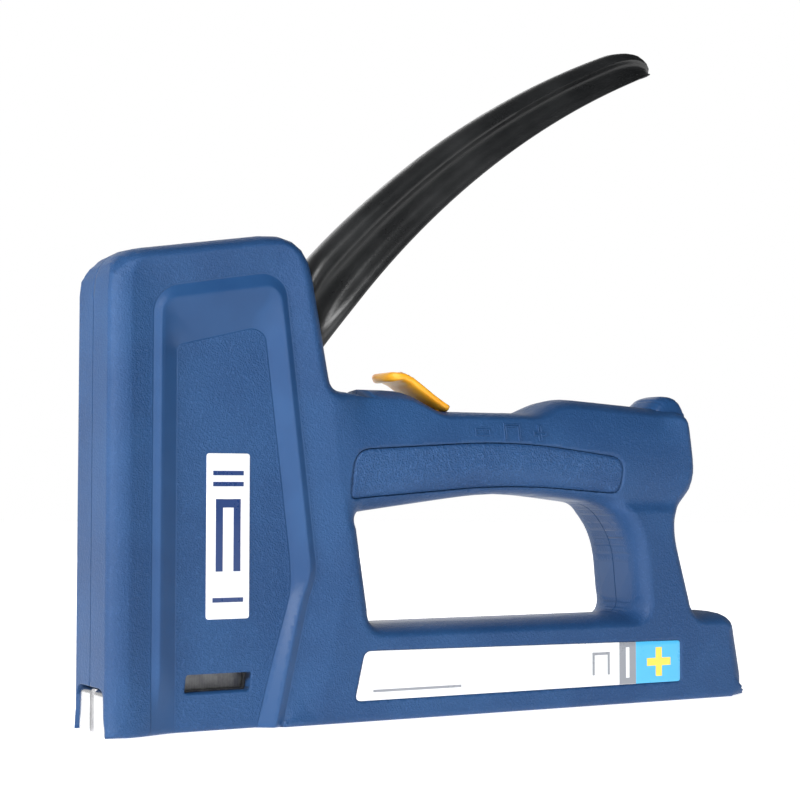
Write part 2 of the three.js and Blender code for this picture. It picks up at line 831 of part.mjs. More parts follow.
// Staples glued into one strip.
function stapleStrip() {
  add('staple_strip', straddle(stripFront, stripLength), brightSteel);
}

function pusher() {
  const start = stripFront + stripLength + 0.4;
  const tongue = box(start + 2, start + 5, -1.3, 1.3, rodHeight, stapleTop - 0.2);
  const eye = box(start + 2, start + 5, -2.5, 2.5, rodHeight - 2.4, rodHeight + 2.4);
  const hole = longBar(rodHeight, rodRadius + gap, start - through, start + pusherLength);
  add('pusher', without(joined(straddle(start, pusherLength), tongue, eye), hole), darkSteel);
  const springStart = start + 5.6;
  const springEnd = channelBack + 1.4;
  const spring = coil(2.1, 0.7, springEnd - springStart, 18, 8, 3);
  spring.rotateY(Math.PI / 2);
  spring.translate(springStart, 0, rodHeight);
  add('pusher_spring', spring, brightSteel);
  add('pusher_rod', longBar(rodHeight, rodRadius, channelFront + 1.5, springEnd), brightSteel);
}

shells();
sidePieces();
shellScrews();
nosePlate();
plunger();
driver();
mainSpring();
bumper();
lever();
selector();
magazineChannel();
magazineRail();
magazineCap();
stapleStrip();
pusher();
model.position.x = -soleMiddle;

export default model;
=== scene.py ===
import math

import bmesh
import bpy
import numpy as np
from mathutils import Matrix, Vector
from mathutils.geometry import delaunay_2d_cdt


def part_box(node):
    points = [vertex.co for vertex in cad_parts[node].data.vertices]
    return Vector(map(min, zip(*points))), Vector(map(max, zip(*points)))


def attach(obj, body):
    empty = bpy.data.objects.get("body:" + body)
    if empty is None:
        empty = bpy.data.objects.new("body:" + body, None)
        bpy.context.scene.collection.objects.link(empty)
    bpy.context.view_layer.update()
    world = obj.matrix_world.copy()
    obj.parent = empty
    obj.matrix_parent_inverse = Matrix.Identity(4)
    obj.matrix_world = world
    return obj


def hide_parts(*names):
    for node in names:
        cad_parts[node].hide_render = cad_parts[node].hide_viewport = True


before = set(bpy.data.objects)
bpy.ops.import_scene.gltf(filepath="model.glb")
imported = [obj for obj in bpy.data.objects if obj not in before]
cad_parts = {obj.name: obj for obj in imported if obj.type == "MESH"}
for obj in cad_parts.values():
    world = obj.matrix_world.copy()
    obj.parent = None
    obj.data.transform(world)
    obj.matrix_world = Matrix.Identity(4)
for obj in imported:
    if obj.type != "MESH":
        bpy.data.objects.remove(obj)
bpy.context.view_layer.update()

# ---- studio ----
# A pale table, a camera a little under half a metre away, and soft lights around and above.
# The camera looks at the nose and the left side, slightly upwards from grip height.
MM = 0.001
view_turn = math.radians(29.0)
view_rise = math.radians(2.861)
camera_data = bpy.data.cameras.new("studio_camera")
camera_data.lens = 81.0
camera_data.sensor_width = 36.0
camera_data.clip_start = 0.01
camera = bpy.data.objects.new("studio_camera", camera_data)
bpy.context.scene.collection.objects.link(camera)
camera.matrix_world = (
    Matrix.Translation(Vector((-154.47, -433.42, 60.74)) * MM)
    @ Matrix.Rotation(-view_turn, 4, "Z")
    @ Matrix.Rotation(math.pi / 2 + view_rise, 4, "X")
    @ Matrix.Rotation(math.radians(0.048), 4, "Z")
)
bpy.context.scene.camera = camera
bpy.context.scene.view_settings.view_transform = "Standard"


def softbox(name, place, aim, width, height, watts):
    """A rectangular soft light at a place, turned towards its aim."""
    light = bpy.data.lights.new(name, "AREA")
    light.shape = "RECTANGLE"
    light.size = width
    light.size_y = height
    light.energy = watts
    lamp = bpy.data.objects.new(name, light)
    bpy.context.scene.collection.objects.link(lamp)
    lamp.location = place
    lamp.rotation_euler = (Vector(aim) - Vector(place)).to_track_quat("-Z", "Y").to_euler()


class Wire:
    """One output of a material's nodes. Sums and products of wires add Math nodes."""

    def __init__(self, finish, socket):
        self.finish = finish
        self.socket = socket

    def math(self, operation, first, second):
        return self.finish.node("ShaderNodeMath", {"operation": operation}, {0: first, 1: second})

    def __add__(self, other):
        return self.math("ADD", self, other)

    __radd__ = __add__

    def __mul__(self, other):
        return self.math("MULTIPLY", self, other)

    __rmul__ = __mul__

    def __sub__(self, other):
        return self.math("SUBTRACT", self, other)

    def __rsub__(self, other):
        return self.math("SUBTRACT", other, self)

    def step(self, low, high, to_low=0.0, to_high=1.0):
        return self.finish.node(
            "ShaderNodeMapRange",
            {"interpolation_type": "SMOOTHSTEP"},
            {"Value": self, "From Min": low, "From Max": high, "To Min": to_low, "To Max": to_high},
        )


class Finish:
    """A surface finish: a Principled shader and the nodes that feed it."""

    def __init__(self, name, **uniform):
        self.material = bpy.data.materials.new(name)
        self.material.use_nodes = True
        self.tree = self.material.node_tree
        self.tree.nodes.clear()
        self.shader = self.tree.nodes.new("ShaderNodeBsdfPrincipled")
        output = self.tree.nodes.new("ShaderNodeOutputMaterial")
        self.tree.links.new(self.shader.outputs["BSDF"], output.inputs["Surface"])
        for socket, value in uniform.items():
            self.shader.inputs[socket.replace("_", " ")].default_value = value

    def node(self, kind, settings=None, sockets=None, out=0):
        made = self.tree.nodes.new(kind)
        for key, value in (settings or {}).items():
            setattr(made, key, value)
        for key, value in (sockets or {}).items():
            if isinstance(value, Wire):
                self.tree.links.new(value.socket, made.inputs[key])
            else:
                made.inputs[key].default_value = value
        return Wire(self, made.outputs[out])

    def place(self):
        return self.node("ShaderNodeTexCoord", out="Object")

    def noise(self, size, detail=2.0, rough=0.5, vector=None):
        return self.node(
            "ShaderNodeTexNoise",
            {},
            {"Vector": vector or self.place(), "Scale": 1 / size, "Detail": detail, "Roughness": rough},
        )

    def mix(self, factor, first, second):
        return self.node(
            "ShaderNodeMix",
            {"data_type": "RGBA"},
            {0: factor, 6: first, 7: second},
            out=2,
        )

    def attribute(self, name):
        return self.node("ShaderNodeAttribute", {"attribute_name": name}, out="Fac")

    def bump(self, height, depth, strength=1.0):
        return self.node("ShaderNodeBump", {}, {"Height": height, "Distance": depth, "Strength": strength})

    def feed(self, **sockets):
        for socket, value in sockets.items():
            self.tree.links.new(value.socket, self.shader.inputs[socket.replace("_", " ")])
        return self.material


def linear(red, green, blue):
    """An 8-bit screen colour as the linear colour that the shader wants."""
    flat = [c / 255 for c in (red, green, blue)]
    return tuple(c / 12.92 if c <= 0.04045 else ((c + 0.055) / 1.055) ** 2.4 for c in flat)


def table_finish():
    finish = Finish("table_paper", Roughness=0.75, Emission_Color=(1, 1, 1, 1), Emission_Strength=0.88)
    shade = finish.noise(0.4, 1.0).step(0.3, 0.7, 0.0, 1.0)
    return finish.feed(Base_Color=finish.mix(shade, (0.90, 0.90, 0.905, 1), (0.93, 0.93, 0.93, 1)))


def table():
    """A wide flat sheet, pale enough to run into the white room behind it."""
    net = bmesh.new()
    rim = [(3 * math.cos(a), 3 * math.sin(a)) for a in np.linspace(0, 2 * math.pi, 64, endpoint=False)]
    net.faces.new([net.verts.new((x, y, -0.0002)) for x, y in rim])
    mesh = bpy.data.meshes.new("table_sheet")
    net.to_mesh(mesh)
    net.free()
    sheet = bpy.data.objects.new("table_sheet", mesh)
    bpy.context.scene.collection.objects.link(sheet)
    mesh.materials.append(table_finish())


table()
world = bpy.data.worlds.new("studio_room")
bpy.context.scene.world = world
world.use_nodes = True
room = world.node_tree
direction = room.nodes.new("ShaderNodeTexCoord").outputs["Generated"]


def room_shade(axis, dark_from, dark_to, dark, bright):
    """Brightness of the room along one direction, from bright to dark."""
    along = room.nodes.new("ShaderNodeVectorMath")
    along.operation = "DOT_PRODUCT"
    room.links.new(direction, along.inputs[0])
    along.inputs[1].default_value = axis
    shade = room.nodes.new("ShaderNodeMapRange")
    sizes = {"From Min": dark_from, "From Max": dark_to, "To Min": bright, "To Max": dark}
    for socket, value in sizes.items():
        shade.inputs[socket].default_value = value
    room.links.new(along.outputs["Value"], shade.inputs["Value"])
    return shade.outputs[0]


ceiling = room_shade((0, 0, 1), 0.2, 0.75, 0.12, 0.75)
right_side = room_shade((0.80, -0.60, 0), -0.5, 0.5, 0.06, 0.85)
seen = room.nodes.new("ShaderNodeLightPath").outputs["Is Camera Ray"]
lit = room.nodes.new("ShaderNodeMath")
lit.operation = "MULTIPLY"
room.links.new(ceiling, lit.inputs[0])
room.links.new(right_side, lit.inputs[1])
shown = room.nodes.new("ShaderNodeMix")
room.links.new(seen, shown.inputs[0])
room.links.new(lit.outputs[0], shown.inputs[2])
shown.inputs[3].default_value = 1.0
room.nodes["Background"].inputs["Color"].default_value = (1.0, 1.0, 1.0, 1)
room.links.new(shown.outputs[0], room.nodes["Background"].inputs["Strength"])
softbox("left_softbox", (-1.05, -0.35, 0.22), (0.0, 0, 0.08), 0.45, 0.8, 11)
softbox("front_softbox", (-0.2, -1.2, 0.3), (0.1, 0, 0.07), 0.5, 0.5, 3)
softbox("right_softbox", (1.3, 0.35, 0.3), (0.1, 0, 0.08), 0.4, 0.8, 0.8)
softbox("upper_softbox", (-0.7, -0.8, 0.95), (0.08, 0, 0.07), 0.5, 0.5, 12)
softbox("back_softbox", (0.4, 1.1, 0.4), (0.08, 0, 0.08), 0.9, 0.7, 3)

# ---- the two shells ----
# The body is moulded in blue plastic as a left and a right half that meet at the middle plane.
# Each half has a crowned edge, a raised rim around a sunk panel on the head, and recesses for
# the grip pad and the label. The head, grip and base are hollow for the mechanism.
HALF = 13.7
SEAM = 0.16
ORIGIN = 2.75
LEAN = 0.17
shell_outline = [
    # x, z, corner rounding, then how wide and how deep the edge after this corner is rounded
    (0, 0, 0, 5.3, 3.2),
    (0, 120.5, 10, 3.6, 13.1),
    (55.2, 129.4, 13, 5.0, 10.5),
    (63.0, 88, 2, 3.5, 13.1),
    (86.5, 88, 4, 3.2, 13.1),
    (97, 82.6, 2, 2.6, 13.1),
    (127, 82.6, 3, 2.8, 13.1),
    (137.5, 87.2, 6, 3.6, 13.1),
    (180.5, 84.4, 5, 4.5, 9.5),
    (183, 64, 7, 4.0, 6.0),
    (174.6, 54, 5, 4.0, 6.0),
    (174.6, 47, 6, 4.0, 6.0),
    (180.8, 24.8, 4, 3.6, 12.0),
    (196.5, 24.6, 5, 6.5, 9.0),
    (200, 5, 3, 6.5, 9.0),
    (199.4, 0, 0, 1.2, 0.9),
]
hand_hole = [
    (73.7, 25.2, 3, 3.7, 13.1),
    (161.5, 25.2, 4, 4.0, 6.5),
    (159.5, 46, 8, 4.5, 7.0),
    (151.5, 56.6, 6, 7.0, 8.0),
    (118, 60.6, 26, 7.5, 8.5),
    (69.2, 54.5, 3, 4.0, 6.0),
]
rim_foot = [
    (11.4, -9, 0), (11.4, 107.5, 5), (15.2, 112, 4), (43, 116.9, 4), (48, 113.9, 4),
    (57.2, 39, 5), (54.8, 32.5, 5), (45.5, -9, 0),
]
rim_crest = [
    (13.4, -9, 0), (13.4, 106.3, 4), (15.6, 108.9, 4), (43.6, 113.4, 4), (46.3, 111, 4),
    (55, 38.9, 5), (51.9, 31.8, 5), (43.0, -9, 0),
]
panel_edge = [
    (18.6, -9, 0), (18.6, 97.2, 1.5), (39.8, 102.4, 2), (42.9, 100.7, 2),
    (50.1, 42.6, 3), (50.4, 34.5, 4), (45, 16, 5), (38.5, -9, 0),
]
pad_edge = [
    (66.3, 58.2, 2), (67.5, 71.5, 5), (118, 74.5, 20), (155, 70, 5), (153.4, 59.6, 3), (118, 62.2, 26),
]
label_edge = [(67.5, 5.4, 2), (70.5, 18.6, 2), (174, 17.4, 1), (174, 5.4, 1)]
window_edge = [(21, 9.65, 0.8), (21.5, 14.35, 0.8), (39.5, 14.35, 0.8), (39, 9.65, 0.8)]


def rounded(corners, steps=5):
    """Points of a closed outline; each corner becomes a short curve of the given reach."""
    points = []
    for i, (x, z, reach, *_) in enumerate(corners):
        corner = Vector((x, z))
        before = Vector(corners[i - 1][:2]) - corner
        after = Vector(corners[(i + 1) % len(corners)][:2]) - corner
        reach = min(reach, before.length / 2.1, after.length / 2.1)
        if reach == 0:
            points.append((x, z))
            continue
        start = corner + before.normalized() * reach
        end = corner + after.normalized() * reach
        for k in range(steps + 1):
            t = k / steps
            points.append(tuple(start * (1 - t) ** 2 + corner * 2 * t * (1 - t) + end * t * t))
    return np.array(points)


def along(points, pitch):
    """The same closed outline with points no further apart than the pitch."""
    dense = []
    for a, b in zip(points, np.roll(points, -1, axis=0)):
        length = math.dist(a, b)
        if length < 1e-6:
            continue
        count = max(1, math.ceil(length / pitch))
        bulge = np.array([a[1] - b[1], b[0] - a[0]]) / length * 0.004
        dense += [a + (b - a) * k / count + bulge * 4 * k / count * (1 - k / count) for k in range(count)]
    return np.array(dense)


def distance(points, line):
    """Distance of each point to a closed outline, positive inside, and the nearest edge's number."""
    starts = line
    runs = np.roll(line, -1, axis=0) - line
    best = np.full(len(points), 1e9)
    nearest = np.zeros(len(points), int)
    inside = np.zeros(len(points), bool)
    for k, (start, run) in enumerate(zip(starts, runs)):
        offset = points - start
        t = np.clip(offset @ run / max(run @ run, 1e-12), 0, 1)
        away = np.hypot(*(offset - t[:, None] * run).T)
        closer = away < best
        nearest[closer] = k
        best = np.minimum(best, away)
        end = start + run
        crosses = (start[1] > points[:, 1]) != (end[1] > points[:, 1])
        where = start[0] + (points[:, 1] - start[1]) / (run[1] if run[1] else 1e-12) * run[0]
        inside ^= crosses & (points[:, 0] < where)
    return np.where(inside, best, -best), nearest


def edge_rounding(corners, line):
    """Width and depth of the rounded edge at every point of an outline, eased along it."""
    plain = np.array([c[:2] for c in corners], float)
    _, edge = distance(line + 1e-6, plain)
    sizes = np.array([c[3:5] for c in corners])[edge]
    spread = 5
    padded = np.concatenate([sizes[-spread:], sizes, sizes[:spread]])
    weights = np.ones(2 * spread + 1) / (2 * spread + 1)
    return np.stack([np.convolve(padded[:, i], weights, "valid") for i in (0, 1)], 1)


def smooth(t):
    t = np.clip(t, 0, 1)
    return t * t * (3 - 2 * t)


outline_line = along(rounded(shell_outline), 1.0)
hole_line = along(rounded(hand_hole, 8), 1.0)
outline_sizes = edge_rounding(shell_outline, outline_line)
hole_sizes = edge_rounding(hand_hole, hole_line)
relief_lines = [rounded(c) for c in (rim_foot, rim_crest, panel_edge)]


def skin(points):
    """How far the outer face of a shell stands from the middle plane, and how grained it is."""
    drop = np.zeros(len(points))
    depth_in = []
    for line, sizes, sign in ((outline_line, outline_sizes, 1), (hole_line, hole_sizes, -1)):
        d, near = distance(points, line)
        d = np.maximum(d * sign, 0)
        wide, deep = sizes[near].T
        t = 1 - np.minimum(d / wide, 1)
        drop += deep * (1 - np.sqrt(np.maximum(1 - t * t, 0)))
        depth_in.append(d - wide)
    x, z = points.T
    foot, crest, floor = (distance(points, line)[0] for line in relief_lines)
    outside = np.maximum(-foot, 0)
    inland = np.maximum(depth_in[0], 0)
    ratio = inland / np.maximum(inland + outside, 1e-6)
    relief = -1.5 * np.minimum(ratio, np.clip(1 - outside / 9, 0, 1))
    step = np.clip(foot, 0, None) / np.maximum(np.clip(foot, 0, None) + np.clip(-crest, 0, None), 1e-6)
    relief = np.where(foot > 0, -1.5 + 1.1 * np.clip(step, 0, 1), relief)
    slope = np.clip(crest, 0, None) / np.maximum(np.clip(crest, 0, None) + np.clip(-floor, 0, None), 1e-6)
    relief = np.where(crest > 0, -0.4 - 2.9 * np.clip(slope, 0, 1), relief)
    plain = -3.3 * smooth((x - 5.3) / 15)
    fade = smooth((z - 4) / 12)
    relief = np.where(x < 30, fade * relief + (1 - fade) * np.where(floor > 0, -3.3, plain), relief)
    grip = smooth((x - 62) / 12) * (1 - smooth((x - 168) / 14)) * smooth((z - 54) / 4)
    relief = relief - 0.011 * grip * (z - 68) ** 2 * (1 - drop / HALF)
    grain = np.where(floor > 0, 1.0, np.where(foot > 0, 0.0, 0.75))
    return HALF - drop + relief, grain


def triangulate(loops, pitch, extra):
    """Faces over the area inside the first loop and outside the others, with points on a grid."""
    low, high = loops[0].min(0), loops[0].max(0)
    grid = []
    for row, z in enumerate(np.arange(low[1], high[1], pitch * 0.87)):
        xs = np.arange(low[0] + (pitch / 2 if row % 2 else 0), high[0], pitch)
        grid.append(np.stack([xs, np.full(len(xs), z)], 1))
    fixed = np.concatenate([*loops, extra]) if len(extra) else np.concatenate(loops)
    grid = np.concatenate(grid)
    cell = {}
    for p in fixed:
        cell[(int(p[0] / pitch), int(p[1] / pitch))] = True
    taken = np.array([(int(p[0] / pitch), int(p[1] / pitch)) in cell for p in grid])
    grid = grid[~taken]
    everything = np.concatenate([grid, extra]) if len(extra) else grid
    keep = distance(everything, loops[0])[0] > 0.1
    for loop in loops[1:]:
        keep &= distance(everything, loop)[0] < -0.1
    everything = everything[keep]
    edges = []
    start = 0
    for loop in loops:
        edges += [(start + k, start + (k + 1) % len(loop)) for k in range(len(loop))]
        start += len(loop)
    source = np.concatenate([*loops, everything])
    verts, _, faces, origin, _, _ = delaunay_2d_cdt([Vector(p) for p in source], edges, [], 2, 1e-7)
    order = [o[0] if o else -1 for o in origin]
    flat = np.array([v[:] for v in verts])
    faces = np.array([f[:] for f in faces])
    middle = flat[faces].mean(1)
    for loop in loops[1:]:
        holed = distance(middle, loop)[0] > 0
        faces, middle = faces[~holed], middle[~holed]
    return flat, faces, order


def closed_mesh(net, name):
    """The finished net as a mesh with its faces turned outwards; the net is freed."""
    bmesh.ops.recalc_face_normals(net, faces=net.faces)
    mesh = bpy.data.meshes.new(name)
    net.to_mesh(mesh)
    net.free()
    return mesh


def circle(x, z, radius, count):
    """Evenly spaced points of a circle."""
    turn = [2 * math.pi * k / count for k in range(count)]
    return [(x + radius * math.cos(a), z + radius * math.sin(a)) for a in turn]


def new_piece(name, mesh):
    piece = bpy.data.objects.new(name, mesh)
    bpy.context.scene.collection.objects.link(piece)
    return piece


def plate_mesh(name, loops, outer, inner, side, pitch=0.7, extra=()):
    """A closed plate over an XZ area, from an inner face to an outer face that the rules give."""
    extra = np.array(extra) if len(extra) else np.empty((0, 2))
    flat, faces, order = triangulate(loops, pitch, extra)
    border = sum(len(loop) for loop in loops)
    height, grain = outer(flat)
    inner_depth, inner_is_flat = inner
    flat_b, faces_b, order_b = flat, faces, order
    if inner_is_flat:
        flat_b, faces_b, order_b = triangulate(loops, 400, np.empty((0, 2)))
    depth = inner_depth(flat_b)
    front = [((x - ORIGIN) * MM, side * y * MM, z * MM) for (x, z), y in zip(flat, height)]
    back = [((x - ORIGIN) * MM, side * y * MM, z * MM) for (x, z), y in zip(flat_b, depth)]
    count = len(front)
    at_front = {o: i for i, o in enumerate(order) if 0 <= o < border}
    at_back = {o: i + count for i, o in enumerate(order_b) if 0 <= o < border}
    belts = []
    polygons = [tuple(int(i) for i in f) for f in faces]
    polygons += [tuple(int(i) + count for i in f[::-1]) for f in faces_b]
    start = 0
    for loop in loops:
        first, last = [[at[start + k] for k in range(len(loop))] for at in (at_front, at_back)]
        rows = [first]
        total = len(front) + len(back) + len(belts)
        for share in (0.04, 0.12, 0.3, 0.6, 0.9):
            belts += [tuple(Vector(front[i]).lerp(back[j - count], share)) for i, j in zip(first, last)]
            rows.append(list(range(total, total + len(loop))))
            total += len(loop)
        rows.append(last)
        for upper, lower in zip(rows, rows[1:]):
            for k in range(len(loop)):
                j = (k + 1) % len(loop)
                polygons.append((upper[j], upper[k], lower[k], lower[j]))
        start += len(loop)
    mesh = bpy.data.meshes.new(name)
    mesh.from_pydata(front + back + belts, [], polygons)
    layer = mesh.attributes.new("grain", "FLOAT", "POINT")
    values = np.concatenate([grain, np.full(len(back) + len(belts), grain.mean())]).astype(np.float32)
    layer.data.foreach_set("value", values)
    net = bmesh.new()
    net.from_mesh(mesh)
    bmesh.ops.recalc_face_normals(net, faces=net.faces)
    net.to_mesh(mesh)
    net.free()
    return mesh


def soften(piece, angle=32):
    for polygon in piece.data.polygons:
        polygon.use_smooth = True
    piece.data.set_sharp_from_angle(angle=math.radians(angle))


def prism(points, low, high, flat="XZ"):
    """A straight block over an outline, as an object that is used to cut or to join."""
    net = bmesh.new()
    lay = {
        "XZ": lambda a, b, h: ((a - ORIGIN) * MM, h * MM, b * MM),
        "YZ": lambda a, b, h: ((h - ORIGIN) * MM, a * MM, b * MM),
        "XY": lambda a, b, h: ((a - ORIGIN) * MM, b * MM, h * MM),
    }[flat]
    ends = [[net.verts.new(lay(a, b, h)) for a, b in points] for h in (low, high)]
    net.faces.new(ends[0])
    net.faces.new(ends[1][::-1])
    for k in range(len(points)):
        j = (k + 1) % len(points)
        net.faces.new((ends[0][j], ends[0][k], ends[1][k], ends[1][j]))
    mesh = closed_mesh(net, "block")
    return new_piece("block", mesh)


def block(x0, x1, y0, y1, z0, z1):
    return prism([(x0, z0), (x1, z0), (x1, z1), (x0, z1)], y0, y1)


def boolean(piece, other, operation="DIFFERENCE", drop=True):
    """The piece with the other cut from it or joined to it, as a plain mesh again."""
    modifier = piece.modifiers.new("cut", "BOOLEAN")
    modifier.operation = operation
    modifier.solver = "MANIFOLD"
    modifier.object = other
    graph = bpy.context.evaluated_depsgraph_get()
    mesh = bpy.data.meshes.new_from_object(piece.evaluated_get(graph))
    piece.modifiers.clear()
    old = piece.data
    mesh.name = old.name
    piece.data = mesh
    bpy.data.meshes.remove(old)
    if drop:
        bpy.data.objects.remove(other)
    return piece


def merged_copy(node):
    """A closed copy of a CAD node's mesh."""
    net = bmesh.new()
    net.from_mesh(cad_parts[node].data)
    bmesh.ops.remove_doubles(net, verts=net.verts, dist=1e-6)
    mesh = bpy.data.meshes.new("copy")
    net.to_mesh(mesh)
    net.free()
    return new_piece("copy", mesh)


def rear_face(z):
    return 57.5 + LEAN * (120.5 - z)


def shell_plastic():
    finish = Finish("blue_moulded_plastic", Specular_IOR_Level=0.3)
    place = finish.place()
    grain = finish.attribute("grain")
    spark = finish.noise(0.00042, 2.0, 0.6, place)
    pebble = finish.noise(0.00085, 1.0, 0.5, place)
    texture = spark * 0.6 + pebble * 0.4
    cloud = finish.noise(0.03, 3.0, 0.55, place)
    tone = finish.mix(cloud.step(0.35, 0.65), (*linear(31, 66, 110), 1), (*linear(37, 74, 119), 1))
    # The grain's bumps are real, but the lighter blue on their raised points is a painted highlight where
    # light catches the grain.
    raised = texture.step(0.5, 0.72) * grain
    colour = finish.mix(raised * 0.2, tone, (*linear(84, 124, 176), 1))
    fine = finish.noise(0.00016, 1.0, 0.5, place)
    height = texture * grain + fine * 0.06
    rough = cloud * 0.08 + grain * 0.14 + 0.33
    return finish.feed(Base_Color=colour, Roughness=rough, Normal=finish.bump(height, 0.0005, 0.8))


def ring_points(line, offsets, sign):
    """Points beside an outline, on the inner side for sign 1, at the given distances."""
    runs = np.roll(line, -1, axis=0) - np.roll(line, 1, axis=0)
    normal = np.stack([-runs[:, 1], runs[:, 0]], 1) / np.maximum(np.hypot(*runs.T), 1e-9)[:, None]
    area = 0.5 * np.sum(line[:, 0] * np.roll(line[:, 1], -1) - np.roll(line[:, 0], -1) * line[:, 1])
    normal *= math.copysign(1, area) * sign
    rings = []
    for offset in offsets:
        points = line + normal * offset
        away = np.abs(distance(points, line)[0])
        rings.append(points[away > abs(offset) * 0.93])
    return np.concatenate(rings)


def inside_domain(points):
    keep = (distance(points, outline_line)[0] > 0.12) & (distance(points, hole_line)[0] < -0.12)
    return points[keep]


edge_steps = [0.12, 0.35, 0.7, 1.2, 1.8, 2.3, 2.7, 3.0, 3.25, 3.5, 3.75, 4.1, 4.6, 5.1]
hole_steps = edge_steps + [5.8, 6.6, 7.4]
features = [ring_points(outline_line, edge_steps, 1), ring_points(hole_line, hole_steps, -1)]
for line in relief_lines:
    features.append(ring_points(along(line, 0.5), [-0.16, 0.16], 1))
pad_line = along(rounded(pad_edge, 8), 0.6)
label_line = along(rounded(label_edge), 0.8)
window_line = rounded(window_edge, 3)
recess_lines = {"pad": (pad_line, 1.5), "label": (label_line, 0.35)}
for line, _ in recess_lines.values():
    features.append(ring_points(line, [-0.03, 0.06], 1))
features = inside_domain(np.concatenate(features))


def shell_face(points):
    height, grain = skin(points)
    for line, depth in recess_lines.values():
        height = height - np.where(distance(points, line)[0] > 0.02, depth, 0)
    return height, grain


screw_places = [(40, 116.7), (25, 24), (rear_face(36) - 8, 36), (161.5, 70.5), (167, 36)]
blue = shell_plastic()


def half_shell(name, side):
    mesh = plate_mesh(
        name,
        [outline_line, hole_line],
        shell_face,
        (lambda p: np.full(len(p), SEAM), True),
        side,
        pitch=0.75,
        extra=features,
    )
    shell = new_piece(name, mesh)
    cad = merged_copy("left_shell" if side < 0 else "right_shell")
    hollows = [
        prism([(2, 2.2), (rear_face(2.2) - 1.5, 2.2), (rear_face(117) - 1.5, 121), (2, 115)], -9.6, 9.6),
        block(rear_face(0) - 3, 182, -11.4, 11.4, 2.2, 81),
    ]
    for hollow in hollows:
        boolean(hollow, cad, drop=False)
        boolean(shell, hollow)
    bpy.data.objects.remove(cad)
    nose_opening = rounded([
        (11.1, -4, 0), (11.1, 1.2, 1.5), (9.9, 4.2, 2), (9.6, 11.7, 3),
        (-9.6, 11.7, 3), (-9.9, 4.2, 2), (-11.1, 1.2, 1.5), (-11.1, -4, 0),
    ], 4)
    openings = [
        prism(nose_opening, -1, 5.4, "YZ"),
        block(3.1, 14.6, -8.5, 8.5, -4, 31.5),
        block(6.9, 204, -7.0, 7.0, -4, 17.3),
        block(50, 75, -10, 10, 84.4, 123.7),
        block(98.3, 120.9, -3.5, 3.5, 76, 90),
        prism(window_line, -20, 20),
    ]
    for place in screw_places if side > 0 else []:
        openings.append(prism(circle(*place, 3.3, 40), 8.2, 20))
    for opening in openings:
        boolean(shell, opening)
    shell.data.materials.clear()
    shell.data.materials.append(blue)
    soften(shell)
    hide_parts("left_shell" if side < 0 else "right_shell")
    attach(shell, "body")
    return shell


half_shell("shell_half_left", -1)
half_shell("shell_half_right", 1)

# ---- the marks on the grip ----
# Three thin raised outlines beside the selector, moulded with each shell: less, staple, more.
def mark_outlines():
    less = [(104.9, 75.7), (109.8, 75.7), (109.8, 77.6), (104.9, 77.6)]
    staple = [
        (114.2, 74.4), (115.2, 74.4), (115.2, 78.2), (118.8, 78.2),
        (118.8, 74.4), (119.8, 74.4), (119.8, 79.2), (114.2, 79.2),
    ]
    low, high, left, right = 75.9, 77.2, 125.45, 126.75
    more = [
        (left, 74.4), (right, 74.4), (right, low), (128.3, low), (128.3, high), (right, high),
        (right, 78.8), (left, 78.8), (left, high), (123.9, high), (123.9, low), (left, low),
    ]
    return [less, staple, more]


def raised_marks(side):
    net = bmesh.new()
    for corners in mark_outlines():
        line = np.array(corners, float)
        back = line - np.roll(line, 1, axis=0)
        ahead = np.roll(line, -1, axis=0) - line
        back /= np.hypot(*back.T)[:, None]
        ahead /= np.hypot(*ahead.T)[:, None]
        inward = np.stack([-(back + ahead)[:, 1], (back + ahead)[:, 0]], 1)
        inward = inward / np.maximum(1 + np.sum(back * ahead, 1), 0.2)[:, None]
        loops = []
        for shrink, lift in ((0.0, -0.25), (0.0, 0.22), (0.08, 0.3), (0.3, 0.3), (0.38, 0.22), (0.38, -0.25)):
            flat = line + inward * shrink
            height = skin(flat)[0] + lift
            loops.append([
                net.verts.new(((x - ORIGIN) * MM, side * y * MM, z * MM)) for (x, z), y in zip(flat, height)
            ])
        for a, b in zip(loops, loops[1:] + loops[:1]):
            for k in range(len(line)):
                j = (k + 1) % len(line)
                net.faces.new((a[k], a[j], b[j], b[k]))
    mesh = closed_mesh(net, "marks")
    marks = new_piece("grip_marks_left" if side < 0 else "grip_marks_right", mesh)
    mesh.materials.append(blue)
    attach(marks, "body")


raised_marks(-1)
raised_marks(1)


# ---- the lever rest ----
# A small crowned lip at the top rear of the grip, part of the shells, with grooves across it.
def lever_rest():
    spine = rounded([
        (168.6, 84.0, 0), (172.6, 88.5, 3), (178.8, 88.7, 3),
        (182.2, 83.0, 1), (181.2, 79.0, 0), (168.8, 80.0, 0),
    ], 8)
    centre = np.array([175.2, 81.0])
    net = bmesh.new()
    rows = []
    across = np.linspace(-1, 1, 33)
    for t in across:
        shrink = (1 - abs(t) ** 3.2) ** (1 / 3.2)
        width = 8.6 * t
        row = []
        for x, z in along(spine, 0.4):
            groove = 0.0
            if z > 84 and abs(t) < 0.97:
                groove = 0.35 * max(0.0, 1 - abs((x - 172.9) % 2.4 - 1.2) / 0.35)
            px, pz = centre + (np.array([x, z]) - centre) * (0.35 + 0.65 * shrink)
            row.append(net.verts.new(((px - ORIGIN) * MM, width * MM, (pz - groove * shrink) * MM)))
        rows.append(row)
    for a, b in zip(rows, rows[1:]):
        for k in range(len(a)):
            j = (k + 1) % len(a)
            net.faces.new((a[k], a[j], b[j], b[k]))
    net.faces.new(rows[0])
    net.faces.new(rows[-1][::-1])
    mesh = closed_mesh(net, "lever_rest")
    rest = new_piece("lever_rest", mesh)
    mesh.materials.append(blue)
    soften(rest, 50)
    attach(rest, "body")


lever_rest()


